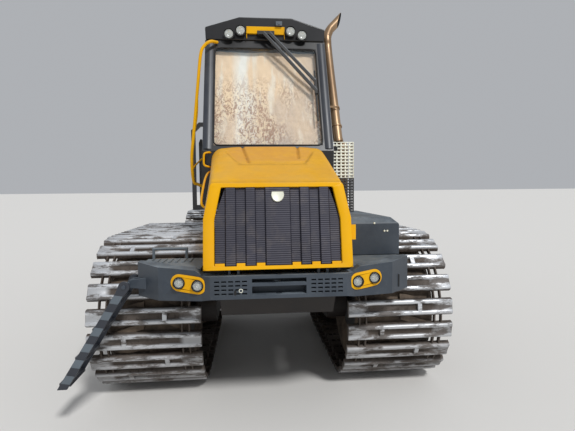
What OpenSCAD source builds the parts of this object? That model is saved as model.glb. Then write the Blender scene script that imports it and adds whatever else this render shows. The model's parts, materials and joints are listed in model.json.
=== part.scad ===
// Forestry forwarder: an articulated eight-wheel timber carrier with steel bogie tracks and a crane.
// X is across the machine, Y runs from the bumper to the load space, and Z is up from the ground.

/* [Running gear] */
// Radius of a tyre over its lugs
tyre_r = 655; // [620:5:680]
// Width of a tyre
tyre_w = 710; // [600:10:720]
// Radius of the rim's outer barrel
rim_r = 325; // [280:5:340]
// Distance between the two wheels of a bogie
bogie_pitch = 1500; // [1420:10:1560]
// Distance from the machine's middle plane to the middle of a track
track_mid = 1105; // [1100:5:1130]
// Length of a track shoe across the machine
shoe_l = 940; // [800:10:980]
// Number of shoes on a track
shoe_count = 35; // [32:1:38]
// Width of one shoe along the track
shoe_w = 146; // [120:2:160]
// Thickness of a shoe's plate
shoe_t = 30; // [24:1:36]
// Height of the two ridges on a shoe
ridge_h = 25; // [15:1:35]
// Thickness of the links that join the shoes
link_t = 18; // [12:1:24]
// Radius of a bogie axle's housing
axle_r = 150; // [120:5:165]
// Height of the axle housing above the wheel centres
axle_rise = 140; // [100:10:160]
// Width of the gear case that joins two wheels
case_w = 195; // [160:5:200]

/* [Front frame] */
// Distance from the bumper's face to the machine's origin
front_reach = 4950; // [4900:10:5000]
// Distance from the bumper's face to the front bogie axle
axle_back = 1950; // [1910:10:1970]
// Distance from the bumper's face to the windscreen's foot
cab_back = 1450; // [1430:10:1470]
// Place of the steering pivot along the machine
pivot_y = -450; // [-480:10:-420]
// Half width over the frame's side plates
frame_half_w = 400; // [390:5:410]
// Thickness of the frame's side plates
plate_t = 30; // [20:1:34]
// Height of the frame's underside
frame_bottom = 850; // [840:5:860]
// Height of the frame's top edge
frame_top = 1200; // [1190:5:1215]
// Radius of the steering pivot pin
pivot_r = 60; // [50:1:70]
// Thickness of the steering fork's plates
fork_t = 60; // [40:1:70]

/* [Bumper and decks] */
// Half width over the bumper's ends
bumper_half_w = 1098; // [1090:2:1110]
// Height of the bumper's top edge at its middle
bumper_top = 1230; // [1222:1:1236]
// Depth of the bumper beam
bumper_d = 120; // [110:1:125]
// Radius of the bore for a tow pin
tow_r = 22.5; // [18:0.5:30]
// Radius of a headlamp's bezel
headlamp_r = 55; // [45:1:60]
// Height of the deck's walking surface
deck_z = 1265; // [1262:1:1270]
// Thickness of the deck plates
deck_t = 30; // [20:1:34]
// Height of the deck box's top
box_top = 1600; // [1580:5:1650]

/* [Hood] */
// Height of the hood's lower edge
hood_z = 1275; // [1272:1:1280]
// Half width of the hood at its front
hood_half_w = 550; // [540:5:560]
// Height of the brow over the grille
brow_z = 1880; // [1860:5:1900]
// Height of the hood's rear edge
hood_rear_z = 2270; // [2250:5:2285]
// Thickness of the hood's walls
hood_t = 30; // [20:1:36]
// Distance that the grille leans back over its height
grille_lean = 120; // [100:5:140]
// Depth of the grille's folds
fold_d = 20; // [12:1:28]

/* [Cab] */
// Half width of the cab
cab_half_w = 700; // [680:5:705]
// Thickness of the cab's walls and door
wall_t = 60; // [50:1:70]
// Height of the cab's floor underside
cab_z = 1720; // [1700:5:1740]
// Height of the cab's flat top under the roof
ceiling_z = 3600; // [3580:5:3620]
// Height of the roof's ridge
roof_z = 3865; // [3850:5:3900]
// Thickness of the cab's panes
pane_t = 10; // [6:1:12]
// Gap round the cab door
door_gap = 6; // [5:0.5:8]
// Radius of the exhaust pipe
exhaust_r = 44; // [38:1:46]

/* [Rear frame] */
// Place of the rear bogie axle along the machine
rear_axle_y = 2100; // [2080:10:2140]
// Place of the rear frame's end
rear_end_y = 4850; // [4800:10:4880]
// Half width of the rear frame's beam
beam_half_w = 200; // [180:5:210]
// Height of the rear frame's top
beam_top = 1300; // [1290:5:1310]
// Radius of the roll bearing's shaft
roll_r = 100; // [80:1:110]
// Height of the bolsters' load surface
bolster_top = 1600; // [1590:5:1640]
// Height of the stakes' tips
stake_top = 2950; // [2800:10:3000]
// Height of the gate's top rail
gate_top = 3250; // [3150:10:3300]
// Half width of the gate
gate_half_w = 1400; // [1350:5:1430]
// Place of the gate's front face along the machine
gate_y = 770; // [765:1:780]

/* [Crane] */
// Place of the slewing axis along the machine
slew_y = 100; // [90:5:110]
// Height of the main boom's pivot
boom_z = 3600; // [3580:10:3640]
// Length of the main boom between its pivots
boom_l = 3200; // [3150:10:3240]
// Angle of the main boom above level
boom_deg = 32; // [30:1:34]
// Angle of the outer boom below the main boom's line
jib_deg = 40; // [38:1:42]
// Length of the outer boom from its pivot to the grapple's pin
jib_l = 1900; // [1860:10:1940]
// Radius of the pillar
pillar_r = 150; // [120:5:160]
// Radius of a crane cylinder's barrel
barrel_r = 50; // [42:1:54]
// Radius of a crane cylinder's rod
rod_r = 30; // [24:1:34]
// Radius of the closed grapple
jaw_r = 270; // [250:5:290]

/* [Hidden] */
$fn = 48;

// Clearances: a seated face, a running pin
seat_gap = 0.3;
pin_gap = 0.3;
cut = 1;

// Running gear
track_gap = 0.4;
wheel_z = tyre_r + track_gap + shoe_t + ridge_h;
track_r = tyre_r + track_gap;
axle_z = wheel_z + axle_rise;
case_out = track_mid - tyre_w / 2 - 5;
case_in = case_out - case_w;
hub_x = case_out + seat_gap;
case_end_r = 170;
case_mid_r = 240;

// Front frame
front_y = -front_reach;
front_axle_y = front_y + axle_back;
cab_y = front_y + cab_back;
plate_in = frame_half_w - plate_t;
fork_r = 180;
fork_y = pivot_y - 850;
steer_pin_r = 25;
steer_z = (frame_bottom + frame_top) / 2;
steer_base_x = 270;
steer_base_y = pivot_y - 700;
steer_lug_x = 280;
steer_lug_y = pivot_y + 60;
outrigger_y = front_y + 430;
outrigger_d = 70;
engine_z = 1000;
engine_top = 1700;
engine_half_w = 320;
engine_y = [front_y + 480, front_y + 1365];
skid_y = front_y + 450;
cross_w = 20;
belly_half_w = 440;
pedestal_y = [cab_y + 60, cab_y + 2040];

// Bumper: rows of half width, place behind the face, for its outer and inner edges
bumper_out = [[0, 0], [503, 0], [570, 50], [900, 150], [bumper_half_w, 350], [bumper_half_w, 430]];
bumper_in = [[bumper_half_w - 98, 430], [820, 150 + bumper_d], [570, 50 + bumper_d], [503, bumper_d],
    [0, bumper_d]];
wing_top = bumper_top + 38;
end_top = bumper_top + 63;
bumper_low = 1060;
recess_half_w = 200;
jaw_gaps = [[bumper_low + 28, bumper_low + 92], [bumper_low + 114, bumper_top - 22]];
tow_y = front_y + 50;
// Slots beside the tow jaw: width, height and depth of one, and their pitch across and up
slot = [36, 14, 40];
slot_pitch = [50, 30];
slot_x = recess_half_w + 36;
slot_z = bumper_low + 32;
// Headlamps: columns are distance from the middle plane, and place of the face behind the bumper's
headlamps = [[597, 42], [737, 84]];
headlamp_z = 1165;
hood_hinge_y = front_y + 55;
hood_hinge_r = 10;
hood_ear_r = 18;
hood_ear_t = 18;
hood_ears = [290, 356];
hood_knuckle = [312, 352];
deck_half_w = 1090;
deck_in = hood_half_w + 35;
deck_rear_y = front_y + 665;
box_rear_y = cab_y + 400;
box_x = [610, 1120];

// Hood and grille
hood_rear_y = cab_y - 10;
hood_rear_half_w = hood_half_w + 20;
// The hood's section at its front and rear: height of its knee, and radius of its shoulder
hood_knees = [1640, 2100];
hood_rounds = [25, 120];
hood_shoulder = 50;
lean = atan(grille_lean / (brow_z - hood_z));
grille_half_w = 470;
grille_top_half_w = 420;
grille_h = (brow_z - hood_z) / cos(lean) - 14;
grille_foot = 28;
grille_knee = 370;
// Half widths where the grille's panels step back or forward
panel_steps = [94, 167, 240, 313, 389, grille_half_w];

// Cab, as seen from its side: columns are place along the machine and height
cab_side = [[cab_y + 50, cab_z], [cab_y + 2120, cab_z], [cab_y + 2050, ceiling_z],
    [cab_y + 550, ceiling_z], [cab_y, hood_rear_z]];
screen_half_w = 585;
screen_z = [2330, 3500];
screen_lean = atan((cab_side[3][0] - cab_side[4][0]) / (ceiling_z - cab_side[4][1]));
side_window = [[cab_y + 100, 2280], [cab_y + 1940, 2280], [cab_y + 1910, 3460], [cab_y + 590, 3460]];
quarter_window = [[cab_y + 100, 2280], [cab_y + 490, 2280], [cab_y + 490, 3200]];
door_y = [cab_y + 580, cab_y + 1700];
door_z = [1785, 3490];
door_window = [[door_y[0] + 90, 2150], [door_y[1] - 90, 2150], [door_y[1] - 90, 3410],
    [door_y[0] + 90, 3410]];
rear_window_half_w = 520;
rear_window_z = [2300, 3400];
door_hinge_x = -cab_half_w - 20;
door_hinge_y = door_y[1];
door_hinge_r = 8;
door_hinge_zs = [2050, 3250];
chair_y = cab_y + 1200;
floor_z = cab_z + wall_t;
roof_front_y = cab_y + 535;
roof_rear_y = cab_y + 2060;
ridge_half_w = 305;
roof_edge_z = ceiling_z + 145;
// Roof lamps: columns are distance from the middle plane, and height
roof_lamps = [[425, 3655], [290, 3697]];
roof_lamp_r = 66;
// Exhaust: points of its middle line
muffler = [835, cab_y + 270];
muffler_top = 2380;
muffler_r = 78;
exhaust_path = [[800, cab_y + 230, muffler_top - 50], [760, cab_y + 210, muffler_top + 60],
    [760, cab_y + 750, 3640], [950, cab_y + 800, 4050]];
guard_y = cab_y + 150;
guard_out = 960;
// Rail beside the door: points of its middle line
rail_r = 19;
brace_r = 10;
rail_y = cab_y + 400;
rail_path = [[20 - cab_half_w, rail_y, 1880], [-cab_half_w - 150, rail_y, 1960],
    [-cab_half_w - 165, rail_y, 2220], [-cab_half_w - 120, rail_y, 2650],
    [-cab_half_w - 35, rail_y, 3430], [60 - cab_half_w, rail_y + 10, 3530],
    [170 - cab_half_w, rail_y + 160, 3565]];

// Rear frame
wheel_ys = [for (axle = [front_axle_y, rear_axle_y]) for (end = [-1, 1]) axle + end * bogie_pitch / 2];
beam_bottom = wheel_z + axle_rise + axle_r;
roll_z = steer_z;
housing_y = [-120, 120];
cheek_in = 150;
bolster_ys = [1150, 2050, 2950, 3800];
bolster_low = bolster_top - 140;
bolster_d = 140;
bunk_half_w = 1290;
stake_t = 110;
gate_d = 80;
gate_bars = [450, 620, 790, 960, 1130];
hitch_r = 25;
hitch_d = 100;
hitch_t = 30;

// Crane: rows of distance along a boom and height over its line
lift_base = [230, -1450];
lift_lug = [550, -220];
jib_base = [1800, 190];
horn_r = 240;
horn_deg = 140;
base_z = 1900;
boom_half_w = 80;
boom_pin_r = 35;
tip_pin_r = 30;
lug_pin_r = 25;
eye_half_w = 20;
eye_r = 42;
neck_share = 0.6;
tip_half_w = 60;
tip_len = 250;
tube_half_h = 90;
tube_t = 15;
slide_gap = 0.3;
fork_l = 150;
tube_end = 200;
rotator_r = 110;
hook_drop = 150;
head_z = 3300;

ladder_pivot = [-1155, 1137];
ladder_mid_y = front_y + 310;
ladder_half_w = 150;
ladder_deg = 31.8;
ladder_l = 920;
ladder_pin_r = 15;
treads = [130, 380, 630, 880];

// The crane's points, seen from its side
function turn(p, deg) = [p[0] * cos(deg) - p[1] * sin(deg), p[0] * sin(deg) + p[1] * cos(deg)];
boom_pivot = [slew_y, boom_z];
lift_from = boom_pivot + lift_base;
lift_to = boom_pivot + turn(lift_lug, boom_deg);
jib_pivot = boom_pivot + turn([boom_l, 0], boom_deg);
jib_from = boom_pivot + turn(jib_base, boom_deg);
jib_to = jib_pivot + turn([horn_r, 0], boom_deg - jib_deg + horn_deg);
hook = jib_pivot + turn([jib_l, 0], boom_deg - jib_deg);
jaw_z = hook[1] - 600;
jaw_pin_x = 100;
jaw_mid_z = jaw_z - 225;

function unit(v) = v / norm(v);
function inward(a, b) = unit([a[1] - b[1], b[0] - a[0]]);
// The points of a convex outline, drawn anticlockwise, moved inwards by a distance
function inset(pts, d) = [for (i = [0:len(pts) - 1])
    let (n = len(pts), a = inward(pts[(i + n - 1) % n], pts[i]), b = inward(pts[i], pts[(i + 1) % n]))
    pts[i] + d * (a + b) / (1 + a * b)];
// An outline and its mirror image about the middle plane, as one closed outline
function both_sides(half) = concat(half, [for (i = [len(half) - 1:-1:0]) [-half[i][0], half[i][1]]]);

// A box between two corners
module block(a, b) {
    translate([min(a[0], b[0]), min(a[1], b[1]), min(a[2], b[2])])
        cube([abs(b[0] - a[0]), abs(b[1] - a[1]), abs(b[2] - a[2])]);
}
// Side view outline [y, z] carried from x0 to x1
module side_plate(pts, x0, x1) {
    translate([min(x0, x1), 0, 0]) rotate([90, 0, 90]) linear_extrude(abs(x1 - x0)) polygon(pts);
}
// Front view outline [x, z] carried from y0 to y1
module front_plate(pts, y0, y1) {
    translate([0, max(y0, y1), 0]) rotate([90, 0, 0]) linear_extrude(abs(y1 - y0)) polygon(pts);
}
// Plan outline [x, y] carried from z0 to z1
module plan_plate(pts, z0, z1) {
    translate([0, 0, min(z0, z1)]) linear_extrude(abs(z1 - z0)) polygon(pts);
}
module bar_x(r, x0, x1, y, z) {
    translate([min(x0, x1), y, z]) rotate([0, 90, 0]) cylinder(r = r, h = abs(x1 - x0));
}
module bar_y(r, y0, y1, x, z) {
    translate([x, max(y0, y1), z]) rotate([90, 0, 0]) cylinder(r = r, h = abs(y1 - y0));
}
module bar_z(r, z0, z1, x, y) {
    translate([x, y, min(z0, z1)]) cylinder(r = r, h = abs(z1 - z0));
}
// A round bar between two points
module strut(a, b, r) {
    d = b - a;
    translate(a) rotate([0, acos(d[2] / norm(d)), atan2(d[1], d[0])]) cylinder(r = r, h = norm(d));
}
// A bent tube: struts with a ball at each bend
module bent_tube(path, r) {
    for (i = [0:len(path) - 2]) strut(path[i], path[i + 1], r);
    for (i = [1:len(path) - 2]) translate(path[i]) sphere(r = r * 1.08);
}
module mirrored() {
    children();
    mirror([1, 0, 0]) children();
}
// Places a piece built along +Y so that it runs from one side-view point to another
module along_side(from, to) {
    d = to - from;
    translate([0, from[0], from[1]]) rotate([atan2(d[1], d[0]), 0, 0]) children();
}

// Bogie axle: a round housing with a gear case at each end
module bogie_axle(y) {
    bar_x(axle_r, -case_in - cut, case_in + cut, y, axle_z);
    mirrored() for (end = [-1, 1]) {
        bar_x(case_end_r, case_in, case_out, y + end * bogie_pitch / 2, wheel_z);
        side_plate([[y, axle_z - case_mid_r], [y, axle_z + case_mid_r],
            [y + end * bogie_pitch / 2, wheel_z + case_end_r],
            [y + end * bogie_pitch / 2, wheel_z - case_end_r]], case_in, case_out);
    }
    mirrored() bar_x(case_mid_r, case_in, case_out, y, axle_z);
}

// A wheel, as rows of radius and place along its axle from its middle plane
module wheel(x, y) {
    half = tyre_w / 2;
    in_face = x > 0 ? -1 : 1;
    rows = [[0, -half - 5 + seat_gap], [150, -half - 5 + seat_gap], [150, -170],
        [rim_r - 40, -170], [rim_r, -half + 55], [rim_r + 60, -half + 25], [tyre_r - 120, -half],
        [tyre_r - 30, -half + 40], [tyre_r, -half + 130], [tyre_r, half - 130],
        [tyre_r - 30, half - 40], [tyre_r - 120, half], [rim_r + 60, half - 25],
        [rim_r, half - 55], [rim_r - 17, half - 70], [rim_r - 17, -100], [210, -130],
        [210, -40], [150, 20], [0, 20]];
    color("#2a2624") translate([x, y, wheel_z]) rotate([0, in_face < 0 ? 90 : -90, 0])
        rotate_extrude() polygon(rows);
}

// The closed loop of a track round two wheels, as a side-view shape
module loop_shape(r) {
    for (end = [-1, 1]) translate([end * bogie_pitch / 2, 0]) circle(r = r, $fn = 96);
    square([bogie_pitch, 2 * r], center = true);
}
// Place and heading of a point on the loop, a distance along its middle line
function loop_at(s, r) = let (straight = bogie_pitch, bend = PI * r, half = straight + bend,
    t = s % half, far = s >= half ? 180 : 0,
    deg = t < straight ? 0 : (t - straight) / r * 180 / PI,
    u = min(t, straight) - straight / 2,
    p = t < straight ? [u, -r] : [straight / 2 + r * sin(deg), -r * cos(deg)])
    [turn(p, far), deg + far];
// One shoe in side view: a plate with two ridges
shoe_rows = [[-0.5, 2], [-0.5, shoe_t], [-0.40, shoe_t + ridge_h], [-0.24, shoe_t + ridge_h],
    [-0.16, shoe_t + 4], [0.16, shoe_t + 4], [0.24, shoe_t + ridge_h], [0.40, shoe_t + ridge_h],
    [0.5, shoe_t], [0.5, 2]];
module track(x, y) {
    loop_len = 2 * bogie_pitch + 2 * PI * track_r;
    color("#8c857c") translate([x - shoe_l / 2, y, wheel_z]) rotate([90, 0, 90]) linear_extrude(shoe_l) {
        difference() {
            loop_shape(track_r + link_t);
            loop_shape(track_r);
        }
        for (i = [0:shoe_count - 1]) {
            at = loop_at((i + 0.5) * loop_len / shoe_count, track_r);
            translate(at[0]) rotate(at[1])
                polygon([for (row = shoe_rows) [row[0] * shoe_w, -row[1]]]);
        }
    }
}

// Front frame
module saddle_cut(y) {
    bar_x(axle_r + seat_gap, -case_in, case_in, y, axle_z);
}
module front_frame() color("dimgray") {
    difference() {
        union() {
            mirrored() side_plate([[front_y + bumper_d, bumper_low], [skid_y, frame_bottom],
                [fork_y + 100, frame_bottom], [pivot_y - 300, frame_bottom + fork_t],
                [pivot_y - 300, frame_top - fork_t], [fork_y + 100, frame_top],
                [front_y + bumper_d, frame_top]], plate_in, frame_half_w);
            block([-plate_in, skid_y, frame_bottom], [plate_in, fork_y, frame_bottom + cross_w]);
            for (y = [engine_y[0], engine_y[1] - cross_w, front_axle_y + 500])
                block([-plate_in, y, frame_bottom], [plate_in, y + cross_w, engine_z]);
            for (z = [frame_bottom, frame_top - fork_t])
                plan_plate([[-frame_half_w, fork_y], [frame_half_w, fork_y],
                    [frame_half_w, pivot_y - 550], [fork_r, pivot_y], [-fork_r, pivot_y],
                    [-frame_half_w, pivot_y - 550]], z, z + fork_t);
            bar_z(fork_r, frame_bottom, frame_bottom + fork_t, 0, pivot_y);
            bar_z(fork_r, frame_top - fork_t, frame_top, 0, pivot_y);
            side_plate([[front_y + bumper_d + 40, bumper_low], [skid_y - 220, frame_bottom + 50],
                [skid_y, frame_bottom + cross_w], [skid_y, frame_bottom],
                [skid_y - 230, frame_bottom + 30], [front_y + bumper_d - 20, bumper_low]],
                -belly_half_w, belly_half_w);
        }
        saddle_cut(front_axle_y);
        bar_z(pivot_r + pin_gap, frame_bottom - cut, frame_top + cut, 0, pivot_y);
    }
    for (side = [-1, 1])
        bar_z(steer_pin_r, frame_bottom, frame_top, side * steer_base_x, steer_base_y);
    difference() {
        block([-frame_half_w, pedestal_y[0], frame_top], [frame_half_w, pedestal_y[1], cab_z]);
        block([-plate_in, pedestal_y[0] + plate_t, frame_top - cut],
            [plate_in, pedestal_y[1] - plate_t, cab_z - plate_t]);
    }
    mirrored() {
        block([frame_half_w - cut, outrigger_y, deck_z - deck_t - 85],
            [deck_half_w, outrigger_y + outrigger_d, deck_z - deck_t]);
        block([hood_half_w - hood_t, outrigger_y + 10, deck_z - deck_t],
            [hood_half_w, outrigger_y + 50, hood_z - seat_gap]);
    }
}
module front_axle() color("dimgray") bogie_axle(front_axle_y);

// Bumper
module bumper_body() {
    half = [for (p = concat(bumper_out, bumper_in)) [p[0], front_y + p[1]]];
    intersection() {
        mirrored() plan_plate(half, bumper_low - 60, end_top + 10);
        front_plate(both_sides([[0, bumper_low], [503, bumper_low], [570, bumper_low - 18],
            [bumper_half_w, bumper_low - 35], [bumper_half_w, end_top], [620, wing_top],
            [hood_half_w + 10, bumper_top], [0, bumper_top]]), front_y - cut, front_y + 500);
    }
}
module bumper() color("#39434c") {
    difference() {
        bumper_body();
        for (gap = jaw_gaps) block([-recess_half_w, front_y - cut, gap[0]],
            [recess_half_w, front_y + bumper_d - 20, gap[1]]);
        bar_z(tow_r, bumper_low - cut, bumper_top + cut, 0, tow_y);
        for (side = [-1, 1]) {
            for (row = [0:3], col = [0:4]) {
                x = slot_x + col * slot_pitch[0];
                z = slot_z + row * slot_pitch[1];
                block([side * x, front_y - cut, z],
                    [side * (x + slot[0]), front_y + slot[2], z + slot[1]]);
            }
            for (lamp = headlamps) bar_y(headlamp_r + seat_gap, front_y - cut,
                front_y + lamp[1] + 50, side * lamp[0], headlamp_z);
        }
    }
    for (side = [-1, 1]) {
        for (x = hood_ears) {
            bar_x(hood_ear_r, side * x, side * (x + hood_ear_t), hood_hinge_y, hood_z);
            block([side * x, hood_hinge_y - 6, bumper_top - cut],
                [side * (x + hood_ear_t), hood_hinge_y + hood_ear_r, hood_z]);
        }
        bar_x(hood_hinge_r, side * hood_ears[0], side * (hood_ears[1] + hood_ear_t), hood_hinge_y,
            hood_z);
    }
    for (y = [ladder_mid_y - 40, ladder_mid_y + 20])
        front_plate([[-1000, ladder_pivot[1] - 45], [-1000, ladder_pivot[1] + 45],
            [ladder_pivot[0] + 10, ladder_pivot[1] + 30], [ladder_pivot[0] - 25, ladder_pivot[1]],
            [ladder_pivot[0] + 10, ladder_pivot[1] - 30]], y, y + 20);
    bar_y(ladder_pin_r, ladder_mid_y - ladder_half_w - 10, ladder_mid_y + ladder_half_w + 10,
        ladder_pivot[0], ladder_pivot[1]);
}

// Decks in front of the tracks, with ribs and a grab loop on the step side
module decks() color("#3c4044") {
    mirrored() difference() {
        plan_plate([[deck_in, front_y + 150], [820, front_y + 230], [1040, front_y + 400],
            [deck_half_w, front_y + 400], [deck_half_w, deck_rear_y], [deck_in, deck_rear_y]],
            deck_z - deck_t, deck_z);
        bumper_body();
    }
    for (i = [0:6]) block([-700 - i * 55, outrigger_y + 20, deck_z - cut],
        [-716 - i * 55, deck_rear_y - 40, deck_z + 8]);
    loop_y = deck_rear_y - 20;
    bent_tube([[-1040, loop_y, deck_z - 10], [-1040, loop_y, deck_z + 90],
        [-760, loop_y, deck_z + 90], [-760, loop_y, deck_z - 10]], 12);
}

// Box beside the hood, raised where it passes over the track
module deck_box() color("#3b3f42") {
    over = wheel_z + track_r + shoe_t + ridge_h + 40;
    intersection() {
        side_plate([[deck_rear_y - 65, deck_z], [deck_rear_y - 5, deck_z],
            [deck_rear_y - 5, deck_z + 60], [deck_rear_y + 165, over], [box_rear_y, over],
            [box_rear_y, box_top], [deck_rear_y - 15, box_top], [deck_rear_y - 65, box_top - 50]],
            box_x[0], box_x[1]);
        front_plate([[box_x[0], deck_z - cut], [box_x[1], deck_z - cut], [box_x[1], box_top - 60],
            [box_x[1] - 65, box_top], [box_x[0], box_top]], deck_rear_y - 70, box_rear_y + cut);
    }
}
module engine() color("#4a4d50") {
    block([-engine_half_w, engine_y[0], engine_z], [engine_half_w, engine_y[1], engine_top]);
}

// Hood: rings of its section at the front and the rear
function hood_ring(y, lean_y, half_w, top_half_w, knee, low, top, round_r, t) =
    let (right = concat([[half_w - t, low], [half_w - t, knee]],
        [for (i = [0:4]) let (a = i * 22.5) [top_half_w - t - round_r + round_r * cos(a),
            top - t - round_r + round_r * sin(a)]]),
        ring = both_sides(right))
    [for (p = ring) [p[0], y + lean_y * (p[1] - hood_z) / (top - hood_z), p[1]]];
module ring_loft(a, b) {
    n = len(a);
    polyhedron(concat(a, b), concat([[for (i = [n - 1:-1:0]) i]], [[for (i = [0:n - 1]) n + i]],
        [for (i = [0:n - 1]) [n + (i + 1) % n, n + i, i]],
        [for (i = [0:n - 1]) [(i + 1) % n, n + (i + 1) % n, i]]));
}
module hood_solid(t, low) {
    ring_loft(hood_ring(front_y + (t > 0 ? hood_t : 0), grille_lean, hood_half_w,
        hood_half_w - hood_shoulder, hood_knees[0], low, brow_z, hood_rounds[0], t),
        hood_ring(hood_rear_y + (t > 0 ? cut : 0), 0, hood_rear_half_w, hood_rear_half_w,
        hood_knees[1], low, hood_rear_z, hood_rounds[1], t));
}
// Places a piece on the leaning face of the hood: x across, y up the face, z forwards
module on_grille() {
    translate([0, front_y, hood_z]) rotate([90 - lean, 0, 0]) children();
}
grille_outline = both_sides([[0, grille_foot], [grille_half_w, grille_foot],
    [grille_half_w, grille_knee], [grille_top_half_w, grille_h - 16], [0, grille_h - 16]]);
module hood_shell() color("#e8a810") {
    difference() {
        hood_solid(0, hood_z);
        hood_solid(hood_t, hood_z - cut);
        on_grille() translate([0, 0, -90]) linear_extrude(120) polygon(grille_outline);
    }
    for (side = [-1, 1]) difference() {
        union() {
            bar_x(hood_ear_r, side * hood_knuckle[0], side * hood_knuckle[1], hood_hinge_y, hood_z);
            block([side * hood_knuckle[0], front_y + 22, hood_z],
                [side * hood_knuckle[1], hood_hinge_y, hood_z + hood_ear_r - cut]);
        }
        bar_x(hood_hinge_r + pin_gap, side * (hood_knuckle[0] - cut), side * (hood_knuckle[1] + cut),
            hood_hinge_y, hood_z);
    }
}
module hood_grille() color("#2f3336") {
    half_steps = [for (i = [0:5]) for (end = [0, 1]) let (at = i - 1 + end)
        [at < 0 ? 0 : panel_steps[at] + (end == 0 ? 4 : -4), -6 - (i % 2) * fold_d]];
    on_grille() intersection() {
        translate([0, 0, -fold_d - 16]) linear_extrude(fold_d + 16) polygon(grille_outline);
        front_plate(both_sides(concat(half_steps, [[grille_half_w - 4, -fold_d - 14], [0, -fold_d - 14]])),
            0, grille_h);
    }
}

// Cab: one shell of wall thickness, with the window and door openings cut through it
module cab_solid(t) {
    side_plate(inset(cab_side, t), -cab_half_w + t, cab_half_w - t);
}
module window_cuts() {
    block([-screen_half_w, cab_y - 100, screen_z[0]], [screen_half_w, cab_y + 700, screen_z[1]]);
    block([-rear_window_half_w, cab_y + 1900, rear_window_z[0]],
        [rear_window_half_w, cab_y + 2200, rear_window_z[1]]);
    side_plate(side_window, cab_half_w - wall_t - cut, cab_half_w + cut);
    side_plate(quarter_window, -cab_half_w - cut, -cab_half_w + wall_t + cut);
}
module cab_shell() color("#2b2d30") {
    difference() {
        cab_solid(0);
        cab_solid(wall_t);
        window_cuts();
        block([-cab_half_w - cut, door_y[0], door_z[0]],
            [-cab_half_w + wall_t + cut, door_y[1], door_z[1]]);
    }
    for (z = door_hinge_zs) {
        block([-cab_half_w, door_hinge_y + 16, z - 40], [door_hinge_x, door_hinge_y + 60, z + 40]);
        block([door_hinge_x - 6, door_hinge_y, z - 40], [door_hinge_x + 6, door_hinge_y + 20, z - 12]);
        bar_z(14, z - 40, z - 12, door_hinge_x, door_hinge_y);
        bar_z(door_hinge_r, z - 40, z + 30, door_hinge_x, door_hinge_y);
    }
}
module cab_roof() color("#303236") {
    front_plate(both_sides([[0, ceiling_z], [cab_half_w - 5, ceiling_z], [cab_half_w, roof_edge_z],
        [ridge_half_w, roof_z], [0, roof_z]]), roof_front_y, roof_rear_y);
}
module cab_glass() color([0.5, 0.55, 0.6, 0.4]) {
    intersection() {
        difference() {
            cab_solid(2 * pane_t);
            cab_solid(3 * pane_t);
        }
        window_cuts();
    }
}
// Places a piece on the windscreen's outer plane: x across, y up the screen, z forwards
module on_screen() {
    translate([0, cab_side[4][0], cab_side[4][1]]) rotate([90 - screen_lean, 0, 0]) children();
}
module sunshade() color("tan") {
    on_screen() translate([-620, 60, -wall_t - seat_gap - 8]) cube([1240, 1290, 8]);
}
module wipers() color("#202224") {
    on_screen() {
        block([-100, 1372, 0], [10, 1430, 36]);
        strut([-75, 1390, 24], [480, 905, 24], 7);
        strut([-30, 1390, 24], [500, 890, 24], 7);
        block([472, 860, 12], [512, 930, 34]);
        block([494, 600, -2 * pane_t + seat_gap], [508, 1240, 20]);
    }
}
module lamps() color("#e8b21a") {
    for (side = [-1, 1]) {
        for (lamp = headlamps) difference() {
            bar_y(headlamp_r, front_y + lamp[1] - 12, front_y + lamp[1] + 50, side * lamp[0],
                headlamp_z);
            bar_y(headlamp_r - 9, front_y + lamp[1] - 12 - cut, front_y + lamp[1] - 2,
                side * lamp[0], headlamp_z);
        }
        for (lamp = roof_lamps)
            bar_y(roof_lamp_r, roof_front_y - 50, roof_front_y, side * lamp[0], lamp[1]);
    }
}
module exhaust_pipe() color("#7a5a3c") {
    last = exhaust_path[3];
    bar_z(muffler_r, box_top, muffler_top, muffler[0], muffler[1]);
    difference() {
        bent_tube(exhaust_path, exhaust_r);
        strut(last - 60 * unit(last - exhaust_path[2]), last + 60 * unit(last - exhaust_path[2]),
            exhaust_r - 5);
    }
    for (part = [0.3, 0.7]) {
        at = exhaust_path[1] + part * (exhaust_path[2] - exhaust_path[1]);
        block([cab_half_w, at[1] - 130, at[2] - 15], [cab_half_w + 30, at[1] + 30, at[2] + 15]);
    }
}
module exhaust_guard() color("#8a8c8a") {
    plan_plate([[cab_half_w, guard_y], [guard_out, guard_y], [guard_out, guard_y + 200],
        [guard_out - 6, guard_y + 200], [guard_out - 6, guard_y + 6], [cab_half_w, guard_y + 6]],
        box_top, muffler_top);
}
module handrails() color("#e0a818") {
    difference() {
        union() {
            bent_tube(rail_path, rail_r);
            strut([rail_path[1][0] - 8, rail_y, 2100], [rail_path[0][0], rail_y, 2260], brace_r);
        }
        cab_solid(0);
    }
}

module cab_door() color("#2b2d30") {
    y0 = door_y[0] + door_gap;
    y1 = door_y[1] - door_gap;
    difference() {
        block([-cab_half_w, y0, door_z[0] + door_gap], [-cab_half_w + wall_t, y1, door_z[1] - door_gap]);
        side_plate(door_window, -cab_half_w - cut, -cab_half_w + wall_t + cut);
    }
    for (z = door_hinge_zs) difference() {
        union() {
            bar_z(14, z - 12 + seat_gap, z + 30, door_hinge_x, door_hinge_y);
            block([door_hinge_x - 6, door_hinge_y - 60, z - 11], [-cab_half_w, door_hinge_y - 16, z + 30]);
            block([door_hinge_x - 6, door_hinge_y - 20, z - 11], [door_hinge_x + 6, door_hinge_y, z + 30]);
        }
        bar_z(door_hinge_r + pin_gap, z - 50, z + 60, door_hinge_x, door_hinge_y);
    }
    block([-cab_half_w - 26, y0 + 40, 1950], [-cab_half_w, y0 + 70, 2080]);
}
module door_glass() color([0.5, 0.55, 0.6, 0.4]) {
    side_plate(door_window, -cab_half_w + 2 * pane_t, -cab_half_w + 3 * pane_t);
}
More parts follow.
